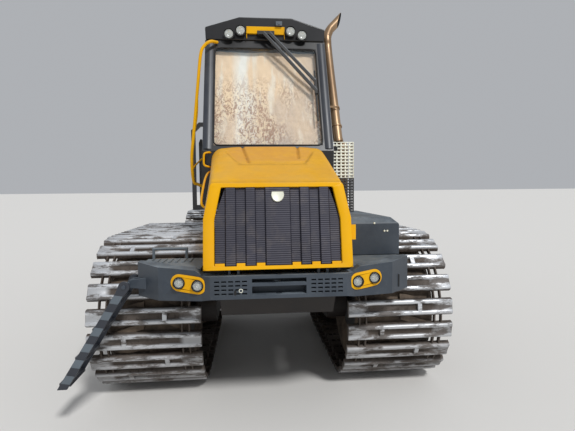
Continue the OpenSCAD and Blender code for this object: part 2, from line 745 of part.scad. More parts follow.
module operator_seat() color("#26282b") {
    bar_z(90, floor_z + seat_gap, 2050, 0, chair_y);
    block([-250, chair_y - 270, 2050], [250, chair_y + 220, 2170]);
    side_plate([[chair_y + 130, 2170], [chair_y + 220, 2170], [chair_y + 330, 2880],
        [chair_y + 240, 2900]], -230, 230);
    mirrored() block([250, chair_y - 230, 2130], [330, chair_y + 200, 2330]);
}

// Fold-down ladder: two stringers with level treads
module ladder() color("#3a4651") {
    translate([ladder_pivot[0], 0, ladder_pivot[1]]) rotate([0, ladder_deg, 0]) {
        for (y = [ladder_mid_y - ladder_half_w, ladder_mid_y + ladder_half_w - 20]) difference() {
            union() {
                block([-45, y, -ladder_l], [45, y + 20, 0]);
                bar_y(45, y, y + 20, 0, 0);
            }
            bar_y(ladder_pin_r + pin_gap, y - cut, y + 20 + cut, 0, 0);
        }
        for (drop = treads) translate([0, 0, -drop]) rotate([0, -ladder_deg, 0])
            block([-50, ladder_mid_y - ladder_half_w + 20 - cut, -16],
                [50, ladder_mid_y + ladder_half_w - 20 + cut, 16]);
    }
}

// Centre joint: a block on the steering pin, with the shaft that the rear frame rolls on
module centre_yoke() color("#55595c") {
    block([-115, pivot_y - 110, frame_bottom + fork_t + seat_gap],
        [115, pivot_y + 200, frame_top - fork_t - seat_gap]);
    bar_z(pivot_r, frame_bottom, frame_top, 0, pivot_y);
    bar_y(150, pivot_y + 190, housing_y[0] - seat_gap, 0, roll_z);
    bar_y(roll_r, pivot_y + 150, housing_y[1] + 30, 0, roll_z);
    bar_y(130, housing_y[1] + seat_gap, housing_y[1] + 30, 0, roll_z);
    for (z = [steer_z - 60, steer_z + 35]) {
        block([-steer_lug_x, steer_lug_y - 40, z], [steer_lug_x, steer_lug_y + 40, z + 25]);
        mirrored() bar_z(44, z, z + 25, steer_lug_x, steer_lug_y);
    }
    mirrored() for (end = [-1, 1])
        bar_z(20, steer_z + end * 15, steer_z + end * 40, steer_lug_x, steer_lug_y);
}
// A cylinder seen along its line: y runs from its base pin to its rod's eye
module cylinder_barrel(length, r, bore_r, pin_r, half_w) {
    difference() {
        union() {
            bar_y(r, pin_r + 12, length, 0, 0);
            bar_x(pin_r + 18, -half_w, half_w, 0, 0);
        }
        bar_y(bore_r + pin_gap, pin_r + 50, length + cut, 0, 0);
        bar_x(pin_r + pin_gap, -half_w - cut, half_w + cut, 0, 0);
        bar_x(pin_r + 20, half_w, r + cut, 0, 0);
        bar_x(pin_r + 20, -r - cut, -half_w, 0, 0);
    }
}
// The rod ends in a flat neck that passes between the pin's two stubs
module cylinder_rod(from, to, r, end_r, half_w) {
    neck = to - 2 * end_r;
    bar_y(r, from, neck, 0, 0);
    block([-half_w, neck - cut, -neck_share * r], [half_w, to, neck_share * r]);
    bar_x(end_r, -half_w, half_w, to, 0);
}
module steer_frame(side) {
    d = [side * (steer_lug_x - steer_base_x), steer_lug_y - steer_base_y];
    translate([side * steer_base_x, steer_base_y, steer_z])
        rotate([0, 0, atan2(-d[0], d[1])]) rotate([0, 90, 0]) children();
}
steer_l = norm([steer_lug_x - steer_base_x, steer_lug_y - steer_base_y]);
module steer_barrel(side) color("#2e3134") {
    steer_frame(side) cylinder_barrel(steer_l - 260, 42, 24, steer_pin_r, 40);
}
module steer_rod(side) color("silver") {
    steer_frame(side) cylinder_rod(270, steer_l, 24, 36, 15 - seat_gap);
}

// Rear frame
module rear_frame() color("#3d4144") {
    difference() {
        union() {
            block([-beam_half_w, 200, beam_bottom], [beam_half_w, rear_end_y, beam_top]);
            block([-beam_half_w, rear_axle_y - 220, axle_z],
                [beam_half_w, rear_axle_y + 220, beam_bottom + cut]);
        }
        saddle_cut(rear_axle_y);
    }
    mirrored() side_plate([[housing_y[0], 900], [200, 860], [420, beam_bottom],
        [420, beam_top], [housing_y[0], beam_top]], cheek_in, beam_half_w);
    difference() {
        union() {
            bar_y(170, housing_y[0], housing_y[1], 0, roll_z);
            block([-cheek_in - cut, housing_y[0], 900], [cheek_in + cut, housing_y[1], roll_z]);
        }
        bar_y(roll_r + pin_gap, housing_y[0] - cut, housing_y[1] + cut, 0, roll_z);
    }
    block([-1000, rear_end_y - 120, beam_top - 160], [1000, rear_end_y, beam_top - 20]);
    for (z = [1080, 1200]) difference() {
        block([-90, rear_end_y - cut, z], [90, rear_end_y + hitch_d, z + hitch_t]);
        bar_z(hitch_r, z - cut, z + hitch_t + cut, 0, rear_end_y + hitch_d - 45);
    }
}
module rear_axle() color("dimgray") bogie_axle(rear_axle_y);
module bunk() color("#33373a") {
    for (y = bolster_ys) {
        block([-beam_half_w, y - bolster_d / 2, beam_top],
            [beam_half_w, y + bolster_d / 2, bolster_low + cut]);
        block([-bunk_half_w, y - bolster_d / 2, bolster_low],
            [bunk_half_w, y + bolster_d / 2, bolster_top]);
        mirrored() front_plate([[bunk_half_w - stake_t - 20, bolster_top - cut],
            [bunk_half_w, bolster_top - cut], [bunk_half_w, stake_top - 80],
            [bunk_half_w - 30, stake_top], [bunk_half_w - 70, stake_top]],
            y - 45, y + 45);
    }
}
module gate() color("#26292b") {
    low = bolster_low;
    block([-beam_half_w, gate_y, beam_top], [beam_half_w, gate_y + gate_d, low + cut]);
    block([-gate_half_w, gate_y, low], [gate_half_w, gate_y + gate_d, low + 100]);
    mirrored() {
        difference() {
            front_plate([[240, low], [gate_half_w, low], [gate_half_w, gate_top - 160],
                [gate_half_w - 160, gate_top], [240, gate_top]], gate_y, gate_y + gate_d);
            front_plate([[310, low + 100], [gate_half_w - 80, low + 100],
                [gate_half_w - 80, gate_top - 190], [gate_half_w - 190, gate_top - 80],
                [310, gate_top - 80]], gate_y - cut, gate_y + gate_d + cut);
        }
        for (x = gate_bars) bar_z(20, low + 99, gate_top - 79, x, gate_y + gate_d / 2);
    }
    block([-241, gate_y, 2350], [241, gate_y + gate_d, 2430]);
}

// Crane
module crane_base() color("#3d4144") {
    plan_plate([[-230, -60], [-130, -118], [130, -118], [230, -60], [230, 400], [-230, 400]],
        beam_top, base_z - 60);
    bar_z(230, base_z - 60, base_z, 0, slew_y);
}
module pillar() color("#d9a01a") {
    bar_z(220, base_z + seat_gap, base_z + 60, 0, slew_y);
    bar_z(pillar_r, base_z + 50, head_z + 20, 0, slew_y);
    mirrored() {
        side_plate([[slew_y - 140, head_z], [slew_y + 140, head_z], [slew_y + 90, boom_z],
            [slew_y - 90, boom_z]], 110, 145);
        bar_x(90, 110, 145, slew_y, boom_z);
        side_plate([[slew_y + 100, lift_from[1] - 110], [lift_from[0], lift_from[1] - 45],
            [lift_from[0], lift_from[1] + 45], [slew_y + 100, lift_from[1] + 110]], 62, 90);
        bar_x(45, 62, 90, lift_from[0], lift_from[1]);
    }
    bar_x(boom_pin_r, -145, 145, slew_y, boom_z);
    bar_x(lug_pin_r, -90, 90, lift_from[0], lift_from[1]);
}
module on_boom() {
    translate([0, slew_y, boom_z]) rotate([boom_deg, 0, 0]) children();
}
module on_jib() {
    on_boom() translate([0, boom_l, 0]) rotate([-jib_deg, 0, 0]) children();
}
module main_boom() color("#d9a01a") on_boom() {
    difference() {
        union() {
            bar_x(90, -100, 100, 0, 0);
            side_plate([[0, -90], [0, 90], [260, 120], [260, -120]], -100, 100);
            side_plate([[250, -120], [250, 120], [boom_l - tip_len, 100], [boom_l - tip_len, -100]],
                -boom_half_w, boom_half_w);
            side_plate([[boom_l - tip_len - cut, -100], [boom_l - tip_len - cut, 100], [boom_l, 65],
                [boom_l, -65]], -tip_half_w, tip_half_w);
            bar_x(65, -tip_half_w, tip_half_w, boom_l, 0);
            mirrored() {
                side_plate([[lift_lug[0] - 130, -100], [lift_lug[0] + 130, -100],
                    [lift_lug[0] + 44, lift_lug[1]], [lift_lug[0] - 44, lift_lug[1]]], 50, 78);
                bar_x(44, 50, 78, lift_lug[0], lift_lug[1]);
                bar_x(lug_pin_r, eye_half_w + seat_gap, 60, lift_lug[0], lift_lug[1]);
                side_plate([[jib_base[0] - 120, 90], [jib_base[0] + 100, 90],
                    [jib_base[0] + 40, jib_base[1]], [jib_base[0] - 40, jib_base[1]]], 62, 80);
                bar_x(40, 62, 80, jib_base[0], jib_base[1]);
            }
            bar_x(lug_pin_r, -80, 80, jib_base[0], jib_base[1]);
        }
        bar_x(boom_pin_r + pin_gap, -101, 101, 0, 0);
        bar_x(tip_pin_r + pin_gap, -tip_half_w - cut, tip_half_w + cut, boom_l, 0);
    }
}
lift_l = norm(lift_to - lift_from);
jib_cyl_l = norm(jib_to - jib_from);
module lift_barrel() color("#2e3134")
    along_side(lift_from, lift_to) cylinder_barrel(lift_l - 420, barrel_r, rod_r, lug_pin_r, 60);
module lift_rod() color("silver")
    along_side(lift_from, lift_to) cylinder_rod(440, lift_l, rod_r, eye_r, eye_half_w);
module jib_barrel() color("#2e3134")
    along_side(jib_from, jib_to) cylinder_barrel(jib_cyl_l - 220, barrel_r, rod_r, lug_pin_r, 60);
module jib_rod() color("silver")
    along_side(jib_from, jib_to) cylinder_rod(300, jib_cyl_l, rod_r, eye_r, eye_half_w);

module outer_boom() color("#d9a01a") on_jib() {
    horn = turn([horn_r, 0], horn_deg);
    difference() {
        block([-boom_half_w, 190, -tube_half_h], [boom_half_w, jib_l - tube_end, tube_half_h]);
        block([-boom_half_w + tube_t, 230, -tube_half_h + tube_t],
            [boom_half_w - tube_t, jib_l, tube_half_h - tube_t]);
    }
    mirrored() {
        side_plate([[0, -75], [0, 75], [200, tube_half_h], [200, -tube_half_h]], 65, 92);
        bar_x(75, 65, 92, 0, 0);
        side_plate([[-48, -57], [48, 57], horn + [26, 31], horn - [26, 31]], 65, 92);
        bar_x(40, 65, 92, horn[0], horn[1]);
        bar_x(lug_pin_r, eye_half_w + seat_gap, 70, horn[0], horn[1]);
        block([65, 180, -tube_half_h], [92, 260, tube_half_h]);
    }
    bar_x(tip_pin_r, -92, 92, 0, 0);
}
module extension() color("#c8951c") on_jib() {
    half_w = boom_half_w - tube_t - slide_gap;
    half_h = tube_half_h - tube_t - slide_gap;
    block([-half_w, 235, -half_h], [half_w, jib_l - fork_l, half_h]);
    mirrored() {
        side_plate([[jib_l - fork_l - cut, -half_h], [jib_l - fork_l - cut, half_h], [jib_l, 34],
            [jib_l, -34]], 32, 60);
        bar_x(34, 32, 60, jib_l, 0);
    }
    bar_x(18, -60, 60, jib_l, 0);
}
// Link under the boom's tip: it swings on one pin and carries the rotator on a crossed pin
module hanger() color("#4a4d50") translate([0, hook[0], hook[1]]) {
    difference() {
        union() {
            bar_x(32, -32 + seat_gap, 32 - seat_gap, 0, 0);
            block([-24, -24, -hook_drop], [24, 24, 0]);
            bar_y(32, -30, 30, 0, -hook_drop);
        }
        bar_x(18 + pin_gap, -40, 40, 0, 0);
    }
    bar_y(16, -56, 56, 0, -hook_drop);
}
module rotator() color("#4a4d50") translate([0, hook[0], hook[1]]) {
    for (end = [-1, 1]) difference() {
        union() {
            bar_y(32, end * (30 + seat_gap), end * 56, 0, -hook_drop);
            block([-32, end * (30 + seat_gap), -240], [32, end * 56, -hook_drop]);
        }
        bar_y(16 + pin_gap, end * 20, end * 60, 0, -hook_drop);
    }
    bar_z(rotator_r, -380, -230, 0, 0);
}
module grapple_frame() color("#3d4144") translate([0, hook[0], 0]) {
    difference() {
        union() {
            bar_z(95, hook[1] - 480, hook[1] - 380 - seat_gap, 0, 0);
            front_plate(both_sides([[0, jaw_z - 40], [jaw_pin_x, jaw_z - 40],
                [jaw_pin_x + 40, jaw_z], [90, hook[1] - 450], [0, hook[1] - 450]]), -100, 100);
        }
        block([-70, -60, jaw_z - 41], [70, 60, jaw_z + 90]);
    }
    mirrored() bar_y(20, -150, 150, jaw_pin_x, jaw_z);
}
// One jaw: two curved tines joined by cross bars, on the grapple's pin
module jaw(side) color("#3d4144") translate([0, hook[0], 0]) scale([side, 1, 1]) {
    for (y = [-136, 108]) difference() {
        union() {
            translate([0, y + 28, jaw_mid_z]) rotate([90, 0, 0]) linear_extrude(28)
                intersection() {
                    difference() {
                        circle(r = jaw_r, $fn = 64);
                        circle(r = jaw_r - 60, $fn = 64);
                    }
                    polygon([[3, 0], [3, -jaw_r - 5], [jaw_r + 5, -jaw_r - 5], [jaw_r + 5, 0],
                        [jaw_r + 5, 180], [jaw_pin_x + 20, 250], [jaw_pin_x - 30, 180]]);
                }
            bar_y(42, y, y + 28, jaw_pin_x, jaw_z);
        }
        bar_y(20 + pin_gap, -200, 200, jaw_pin_x, jaw_z);
    }
    for (deg = [-75, -35, 5]) {
        p = turn([jaw_r - 28, 0], deg);
        bar_y(16, -130, 130, p[0], jaw_mid_z + p[1]);
    }
}

front_frame();
front_axle();
bumper();
decks();
deck_box();
engine();
cab_shell();
cab_roof();
cab_glass();
sunshade();
lamps();
exhaust_pipe();
exhaust_guard();
handrails();
wipers();
track(-track_mid, front_axle_y);  // track_front_left
track(track_mid, front_axle_y);  // track_front_right
hood_shell();
hood_grille();
cab_door();
door_glass();
operator_seat();
ladder();
centre_yoke();
steer_barrel(-1);  // steer_barrel_left
steer_barrel(1);  // steer_barrel_right
steer_rod(-1);  // steer_rod_left
steer_rod(1);  // steer_rod_right
rear_frame();
rear_axle();
track(-track_mid, rear_axle_y);  // track_rear_left
track(track_mid, rear_axle_y);  // track_rear_right
bunk();
gate();
crane_base();
pillar();
main_boom();
lift_barrel();
lift_rod();
outer_boom();
jib_barrel();
jib_rod();
extension();
hanger();
rotator();
grapple_frame();
jaw(1);  // jaw_a
jaw(-1);  // jaw_b
wheel(-track_mid, wheel_ys[0]);  // wheel_1_left
wheel(track_mid, wheel_ys[0]);  // wheel_1_right
wheel(-track_mid, wheel_ys[1]);  // wheel_2_left
wheel(track_mid, wheel_ys[1]);  // wheel_2_right
wheel(-track_mid, wheel_ys[2]);  // wheel_3_left
wheel(track_mid, wheel_ys[2]);  // wheel_3_right
wheel(-track_mid, wheel_ys[3]);  // wheel_4_left
wheel(track_mid, wheel_ys[3]);  // wheel_4_right
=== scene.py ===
# %% [markdown]
# A forestry forwarder: eight big tyres in steel bogie tracks, a yellow hood, a dark cab,
# and behind them a log bunk with its crane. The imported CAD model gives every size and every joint.
# This script keeps that frame and dresses it: it could place ready-made parts by eye, but taking
# each place from the frame means that nothing has to be fitted twice.

# %% Load the frame
import json

import bmesh
import bpy
import numpy as np
from mathutils import Matrix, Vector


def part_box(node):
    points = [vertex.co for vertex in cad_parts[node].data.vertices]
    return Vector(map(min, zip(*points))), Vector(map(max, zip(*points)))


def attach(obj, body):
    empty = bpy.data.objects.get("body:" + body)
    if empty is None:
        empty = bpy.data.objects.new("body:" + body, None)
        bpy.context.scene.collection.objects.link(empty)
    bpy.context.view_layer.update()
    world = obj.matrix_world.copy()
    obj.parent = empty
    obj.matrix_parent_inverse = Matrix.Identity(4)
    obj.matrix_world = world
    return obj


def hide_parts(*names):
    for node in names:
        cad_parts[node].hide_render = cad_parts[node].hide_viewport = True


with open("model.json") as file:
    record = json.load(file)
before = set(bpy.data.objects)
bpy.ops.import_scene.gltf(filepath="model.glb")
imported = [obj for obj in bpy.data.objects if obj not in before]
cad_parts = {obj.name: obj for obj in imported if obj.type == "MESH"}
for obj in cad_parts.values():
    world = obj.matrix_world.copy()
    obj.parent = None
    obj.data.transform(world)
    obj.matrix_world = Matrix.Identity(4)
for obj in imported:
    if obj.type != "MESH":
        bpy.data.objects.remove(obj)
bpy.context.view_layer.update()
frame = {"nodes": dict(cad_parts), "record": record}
NODES = frame["nodes"]
BODY_OF = {
    node: body
    for body, nodes in frame["record"]["behaviour"]["bodies"].items()
    for node in nodes
}
scene = bpy.context.scene


def corners(node):
    """Lowest and highest corner of a CAD node as two arrays."""
    low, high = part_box(node)
    return np.array(low), np.array(high)


# %% [markdown]
# Every new piece here is a surface: a grid of points worked out as one array. A grid could also be
# drawn by hand or sculpted, but a formula keeps the pleats, shoes and lugs even, and a change
# of one number carries through. A shape is a pair, its points and its faces.

# %% Grids, lofts and boxes
def spread(*values):
    """Numbers and arrays, spread to one size, as the coordinates of points."""
    return np.stack(np.broadcast_arrays(*values), -1)


def around(count):
    """Even angles round a circle."""
    return np.linspace(0, 2 * np.pi, count, endpoint=False)


def spin(angle):
    """Turns about the X axis, one for each angle."""
    c, s = np.cos(angle), np.sin(angle)
    return np.stack(np.broadcast_arrays([1.0, 0, 0], spread(0, c, -s), spread(0, s, c)), -2)


def grid_faces(rows, cols, close_cols=False):
    """Quads of a grid whose point (i, j) has number i * cols + j; a closed grid joins its last
    column back to its first."""
    i = np.arange(rows - 1)[:, None]
    j = np.arange(cols if close_cols else cols - 1)[None, :]
    k = (j + 1) % cols
    quads = spread(i * cols + j, i * cols + k, (i + 1) * cols + k, (i + 1) * cols + j)
    return quads.reshape(-1, 4).tolist()


def loft(rings, closed=True, ends=True):
    """A skin over rings of points, an array (rings, points, 3), with its two ends filled."""
    rings = np.asarray(rings, float)
    n, m = rings.shape[:2]
    faces = grid_faces(n, m, closed)
    if ends:
        faces += [list(range(m))[::-1], list(range((n - 1) * m, n * m))]
    return rings.reshape(-1, 3), faces


def slab(outline, start, end, axis=1):
    """An outline of two coordinates carried between two places along the axis it leaves out."""
    outline = np.asarray(outline, float)
    return loft([np.insert(outline, axis, place, axis=1) for place in (start, end)])


def box(low, high):
    """A box between two corners: a square carried from its lower to its upper height."""
    (x0, y0, z0), (x1, y1, z1) = low, high
    return slab([[x0, y0], [x1, y0], [x1, y1], [x0, y1]], z0, z1, 2)


def joined(*shapes):
    """Several shapes as one."""
    points, faces, start = [], [], 0
    for own_points, own_faces in shapes:
        points.append(own_points)
        faces += [[start + k for k in face] for face in own_faces]
        start += len(own_points)
    return np.vstack(points), faces


def copies(shape, turns, places):
    """The shape once for each turn (3 x 3, its columns are the new axes) and place."""
    points, faces = shape
    turned = np.einsum("kij,nj->kni", turns, points) + np.asarray(places)[:, None, :]
    shift = np.arange(len(places)) * len(points)
    return turned.reshape(-1, 3), [[s + k for k in f] for s in shift for f in faces]


def moved(shape, place):
    """The shape at another place."""
    return shape[0] + np.asarray(place), shape[1]


def both(shape):
    """The shape and its mirror image across the machine's middle plane."""
    return joined(shape, (shape[0] * [-1, 1, 1], shape[1]))


# %% Round shapes
def smooth_path(points, steps=8):
    """A curve through the points, where each stretch is a cubic whose ends run along the line
    between their neighbours."""
    p = np.asarray(points, float)
    p = np.vstack([2 * p[0] - p[1], p, 2 * p[-1] - p[-2]])
    t = (np.arange(steps) / steps)[None, :, None]
    a, b, c, d = (p[k : len(p) - 3 + k, None, :] for k in range(4))
    curve = 0.5 * (
        2 * b + (c - a) * t + (2 * a - 5 * b + 4 * c - d) * t**2
        + (3 * b - a - 3 * c + d) * t**3
    )
    return np.vstack([curve.reshape(-1, 3), p[-2]])


def tube(path, radius, sides=12, ends=True):
    """A circle carried along a path. Its side vector is the path's direction crossed with the
    axis that the path uses least, so the circle never twists."""
    path = np.asarray(path, float)
    along = np.gradient(path, axis=0)
    along /= np.linalg.norm(along, axis=1, keepdims=True)
    fixed = np.eye(3)[np.abs(along).max(axis=0).argmin()]
    side = np.cross(along, fixed)
    side /= np.linalg.norm(side, axis=1, keepdims=True)
    up = np.cross(side, along)
    a = around(sides)[None, :, None]
    r = np.broadcast_to(radius, len(path))[:, None, None]
    rings = path[:, None] + r * (np.cos(a) * side[:, None] + np.sin(a) * up[:, None])
    return loft(rings, ends=ends)


def revolve(rows, centre, axis, sides=48):
    """A profile of (place along the axis, radius) rows turned about the axis 0, 1 or 2. A profile
    that comes back to its first row is a ring, so nothing is filled."""
    rows = np.asarray(rows, float)
    a = around(sides)
    points = np.empty((len(rows), sides, 3))
    points[..., axis] = rows[:, :1]
    points[..., (axis + 1) % 3] = rows[:, 1:] * np.cos(a)
    points[..., (axis + 2) % 3] = rows[:, 1:] * np.sin(a)
    return loft(points + np.asarray(centre, float), ends=not np.allclose(rows[0], rows[-1]))


def rod(start, end, radius, sides=16):
    """A round bar between two places."""
    return tube(np.linspace(start, end, 2), radius, sides)


def capsule(first, last, radius, steps=14):
    """An outline of two half circles round two places, and the straights between them."""
    first, last = np.array(first), np.array(last)
    along = (last - first) / np.linalg.norm(last - first)
    a = np.linspace(-np.pi / 2, np.pi / 2, steps)
    half = radius * (np.outer(np.cos(a), along) + np.outer(np.sin(a), [-along[1], along[0]]))
    return np.vstack([last + half, first - half])


def smoothstep(t):
    """0 below 0, 1 above 1, and 3t^2 - 2t^3 between."""
    t = np.clip(t, 0, 1)
    return t * t * (3 - 2 * t)


# %% [markdown]
# A shape becomes a piece when it gets a mesh, a finish, a body to ride on and the CAD nodes that it
# stands for. Rounded edges could be modelled by hand; a Bevel modifier with an angle limit rounds
# only the true corners, which catch the light on painted steel.

# %% From shape to piece
CREASE = 30


def finish_mesh(obj, node, finish, replaces, bevel, angle, thick=0.0):
    """Gives an object its finish, wall and rounded edges, and the body of a CAD node."""
    mesh = obj.data
    mesh.materials.append(finish)
    mesh.shade_smooth()
    mesh.set_sharp_from_angle(angle=np.radians(angle))
    if thick:
        wall = obj.modifiers.new("wall", "SOLIDIFY")
        wall.thickness = thick
        wall.offset = -1
    if bevel:
        edge = obj.modifiers.new("edges", "BEVEL")
        edge.width = bevel
        edge.segments = 2
        edge.limit_method = "ANGLE"
        edge.angle_limit = np.radians(angle)
        edge.harden_normals = True
    scene.collection.objects.link(obj)
    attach(obj, BODY_OF[node])
    if replaces:
        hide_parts(*replaces)
    print(obj.name, len(mesh.polygons), "faces")
    return obj


def merge(mesh, flat=False):
    """Merges a mesh's doubles, joins its flat faces if asked, and turns its faces outwards."""
    bm = bmesh.new()
    bm.from_mesh(mesh)
    bmesh.ops.remove_doubles(bm, verts=bm.verts, dist=1e-5)
    if flat:
        bmesh.ops.dissolve_limit(bm, angle_limit=np.radians(1), verts=bm.verts, edges=bm.edges)
    bmesh.ops.recalc_face_normals(bm, faces=bm.faces)
    bm.to_mesh(mesh)
    bm.free()


def piece(name, shape, finish, like, replaces=(), bevel=0.0, thick=0.0, angle=35):
    """Makes the shape an object that rides on the body of the node like."""
    mesh = bpy.data.meshes.new(name)
    mesh.from_pydata(shape[0].tolist(), [], shape[1])
    merge(mesh)
    obj = bpy.data.objects.new(name, mesh)
    return finish_mesh(obj, like, finish, replaces, bevel, angle, thick)


def softened(node, finish, bevel):
    """A copy of a CAD node, with flat faces joined and corners rounded, that stands for it."""
    mesh = NODES[node].data.copy()
    mesh.materials.clear()
    merge(mesh, flat=True)
    obj = bpy.data.objects.new(node + "_panels", mesh)
    return finish_mesh(obj, node, finish, [node], bevel, CREASE)


def read_points(obj):
    """The piece's points as an array of rows."""
    points = np.empty(len(obj.data.vertices) * 3)
    obj.data.vertices.foreach_get("co", points)
    return points.reshape(-1, 3)


# %% [markdown]
# The machine works in mud and dust, so no finish is one flat colour. Each one mixes the paint with
# a cloudy noise, with a cover where the surface looks up, and with small worn spots. That cover
# is dust, except on the blue-grey bumper paint, where it is a painted reflection of the sky. Image
# textures would need files; noise on Object coordinates has the same scale on every piece. The nodes
# are joined by a small class, so that a finish reads as a recipe.

# %% A finish in the making
def colour(r, g, b):
    """A screen colour of 0 to 255 as the linear colour that the shader takes."""
    return (*(float(c) for c in ((np.array([r, g, b]) / 255) ** 2.2)), 1.0)


class Finish:
    """A material while it is built: its node tree, its shader and its Object coordinates."""

    def __init__(self, name):
        self.material = bpy.data.materials.new(name)
        self.material.use_nodes = True
        self.tree = self.material.node_tree
        self.shader = self.tree.nodes["Principled BSDF"]
        self.coords = self.node("TexCoord", {}).outputs["Object"]

    def feed(self, socket, value):
        """Links a socket to the input, or sets the input's own value."""
        if isinstance(value, bpy.types.NodeSocket):
            self.tree.links.new(value, socket)
        else:
            socket.default_value = value

    def node(self, kind, inputs, **settings):
        """A new node with its settings, and its inputs fed."""
        made = self.tree.nodes.new("ShaderNode" + kind)
        for key, value in settings.items():
            setattr(made, key, value)
        for key, value in inputs.items():
            self.feed(made.inputs[key], value)
        return made

    def noise(self, scale, detail=4, rough=0.55, stretch=None, swirl=0.0):
        """A cloudy pattern of 0 to 1, stretched where it runs one way."""
        coords = self.coords
        if stretch:
            coords = self.node("Mapping", {"Vector": coords, "Scale": stretch}).outputs["Vector"]
        settings = {"Vector": coords, "Scale": scale, "Detail": detail, "Roughness": rough,
                    "Distortion": swirl}
        return self.node("TexNoise", settings).outputs["Fac"]

    def waves(self, scale, swirl=0.0, direction="X"):
        """Even bands of 0 to 1 along one direction."""
        settings = {"Vector": self.coords, "Scale": scale, "Distortion": swirl}
        return self.node("TexWave", settings, bands_direction=direction).outputs["Fac"]

    def ranged(self, value, low, high, to_low=0.0, to_high=1.0):
        """Carries the range low to high over to the range to_low to to_high, and stops there."""
        settings = {"Value": value, "From Min": low, "From Max": high, "To Min": to_low,
                    "To Max": to_high}
        return self.node("MapRange", settings).outputs["Result"]

    def maths(self, operation, *values):
        """One sum of arithmetic on sockets and numbers."""
        return self.node("Math", dict(enumerate(values)), operation=operation).outputs[0]

    def times(self, first, second):
        """One value by another."""
        return self.maths("MULTIPLY", first, second)

    def part(self, vector, axis):
        """One coordinate of a vector."""
        return self.node("SeparateXYZ", {"Vector": vector}).outputs[axis]

    def told(self, attribute):
        """What the mesh says in an attribute."""
        return self.node("Attribute", {}, attribute_name=attribute).outputs["Fac"]

    def mixed(self, share, first, second):
        """Two colours, each a linear colour or a socket, mixed by a share."""
        sockets = {0: share, 6: first, 7: second}
        return self.node("Mix", sockets, data_type="RGBA").outputs[2]

    def shade(self, inputs, height=None, strength=0.0, distance=0.0):
        """Feeds the shader, and its bump if there is a height, and hands over the material."""
        for key, value in inputs.items():
            self.feed(self.shader.inputs[key], value)
        if height is not None:
            relief = {"Height": height, "Strength": strength, "Distance": distance}
            self.feed(self.shader.inputs["Normal"], self.node("Bump", relief).outputs["Normal"])
        return self.material


# %% Paint
def painted(name, base, shade, dust, worn, dust_and_sheen=0.5, wear=0.35, rough=0.42, metal=0.0,
            coat=0.0, shine=0.5, grime=()):
    """Paint: base mixed with shade in clouds, a cover on faces that look up, and worn spots. The
    cover is dust, except on the bumper paint, where it is a painted reflection of the sky. Marks
    come as pairs of an attribute, in which the mesh says where a mark lies, and its colour; on the
    hood they are dust, and soiling with painted shade in its creases."""
    f = Finish(name)
    cloud = f.ranged(f.noise(1.7, 6), 0.35, 0.7)
    body = f.mixed(cloud, colour(*base), colour(*shade))
    facing = f.node("NewGeometry", {}).outputs["Normal"]
    up = f.ranged(f.part(facing, "Z"), 0.1, 0.95, 0.12, 1.0)
    patches = f.ranged(f.noise(5.0, 8, 0.65), 0.3, 0.72)
    # Faces that look up get dust; on the bumper paint this cover is a painted reflection of the sky
    dust_and_sheen_layer = f.times(f.times(up, patches), dust_and_sheen)
    body = f.mixed(dust_and_sheen_layer, body, colour(*dust))
    spots = f.ranged(f.noise(34.0, 6, 0.7), 0.62, 0.74, 0.0, wear)
    body = f.mixed(spots, body, colour(*worn))
    for attribute, dirt_and_shade in grime:
        broken = f.ranged(f.noise(12.0, 6, 0.65), 0.3, 0.6, 0.35, 1.0)
        body = f.mixed(f.times(f.told(attribute), broken), body, colour(*dirt_and_shade))
    return f.shade({
        "Base Color": body, "Roughness": f.ranged(dust_and_sheen_layer, 0.0, 0.8, rough, 0.85),
        "Metallic": metal, "Specular IOR Level": shine, "Coat Weight": coat,
        "Coat Roughness": 0.15,
    }, f.noise(220.0, 3), 0.12, 0.002)


# %% [markdown]
# Track steel is ground bright on the ridges and stays brown with rust and soil in the channels. The
# bright metal is partly wear and partly a painted highlight on the ridges' edges, and it is painted
# brighter towards the top of the loop, where the light falls. The shoe's mesh says how worn each
# point is in an attribute, which the material reads. It could be a mask in a picture, but the wear
# follows the form, so the form can tell it.

# %% Steel, rubber and cloth
def worn_steel(name):
    """Soil and rust, and bright metal where the mesh says worn, broken into scuffs: partly wear,
    partly a painted highlight, and painted brighter towards the top as painted light.
    """
    f = Finish(name)
    soil = f.ranged(f.noise(3.0, 6, 0.55), 0.36, 0.66)
    body = f.mixed(soil, colour(92, 84, 78), colour(60, 50, 42))
    rust = f.ranged(f.noise(26.0, 8, 0.7), 0.52, 0.62, 0.0, 0.7)
    body = f.mixed(rust, body, colour(52, 42, 35))
    scuffs = f.ranged(f.noise(15.0, 8, 0.7, (0.3, 1, 1)), 0.43, 0.52, 0.12, 1.0)
    # Painted light: the bright metal fades towards the bottom of the track, so the mask below is
    # partly wear and partly painted light
    lit_from_above = f.ranged(f.part(f.coords, "Z"), 0.25, 0.95, 0.45, 1.0)
    ground = f.times(f.times(f.told("worn"), scuffs), lit_from_above)
    body = f.mixed(ground, body, colour(226, 229, 233))
    return f.shade({
        "Base Color": body, "Roughness": f.ranged(ground, 0.0, 1.0, 0.7, 0.36),
        "Metallic": f.ranged(ground, 0.0, 1.0, 0.1, 0.75),
    }, f.noise(60.0, 8, 0.7), 0.5, 0.004)


def mesh_sheet(name):
    """Dark wire mesh: level wires a few millimetres apart, as bands of colour and of height."""
    f = Finish(name)
    wires = f.waves(20, 0.4, "Z")
    body = f.mixed(f.ranged(f.noise(3.0, 6), 0.3, 0.7), colour(54, 54, 65), colour(42, 42, 51))
    body = f.mixed(f.ranged(wires, 0.2, 0.9, 0.0, 0.6), body, colour(74, 72, 82))
    dust = f.ranged(f.noise(7.0, 8, 0.65), 0.5, 0.75, 0.0, 0.35)
    body = f.mixed(dust, body, colour(112, 104, 98))
    return f.shade({"Base Color": body, "Roughness": 0.55, "Metallic": 0.3}, wires, 0.5, 0.004)


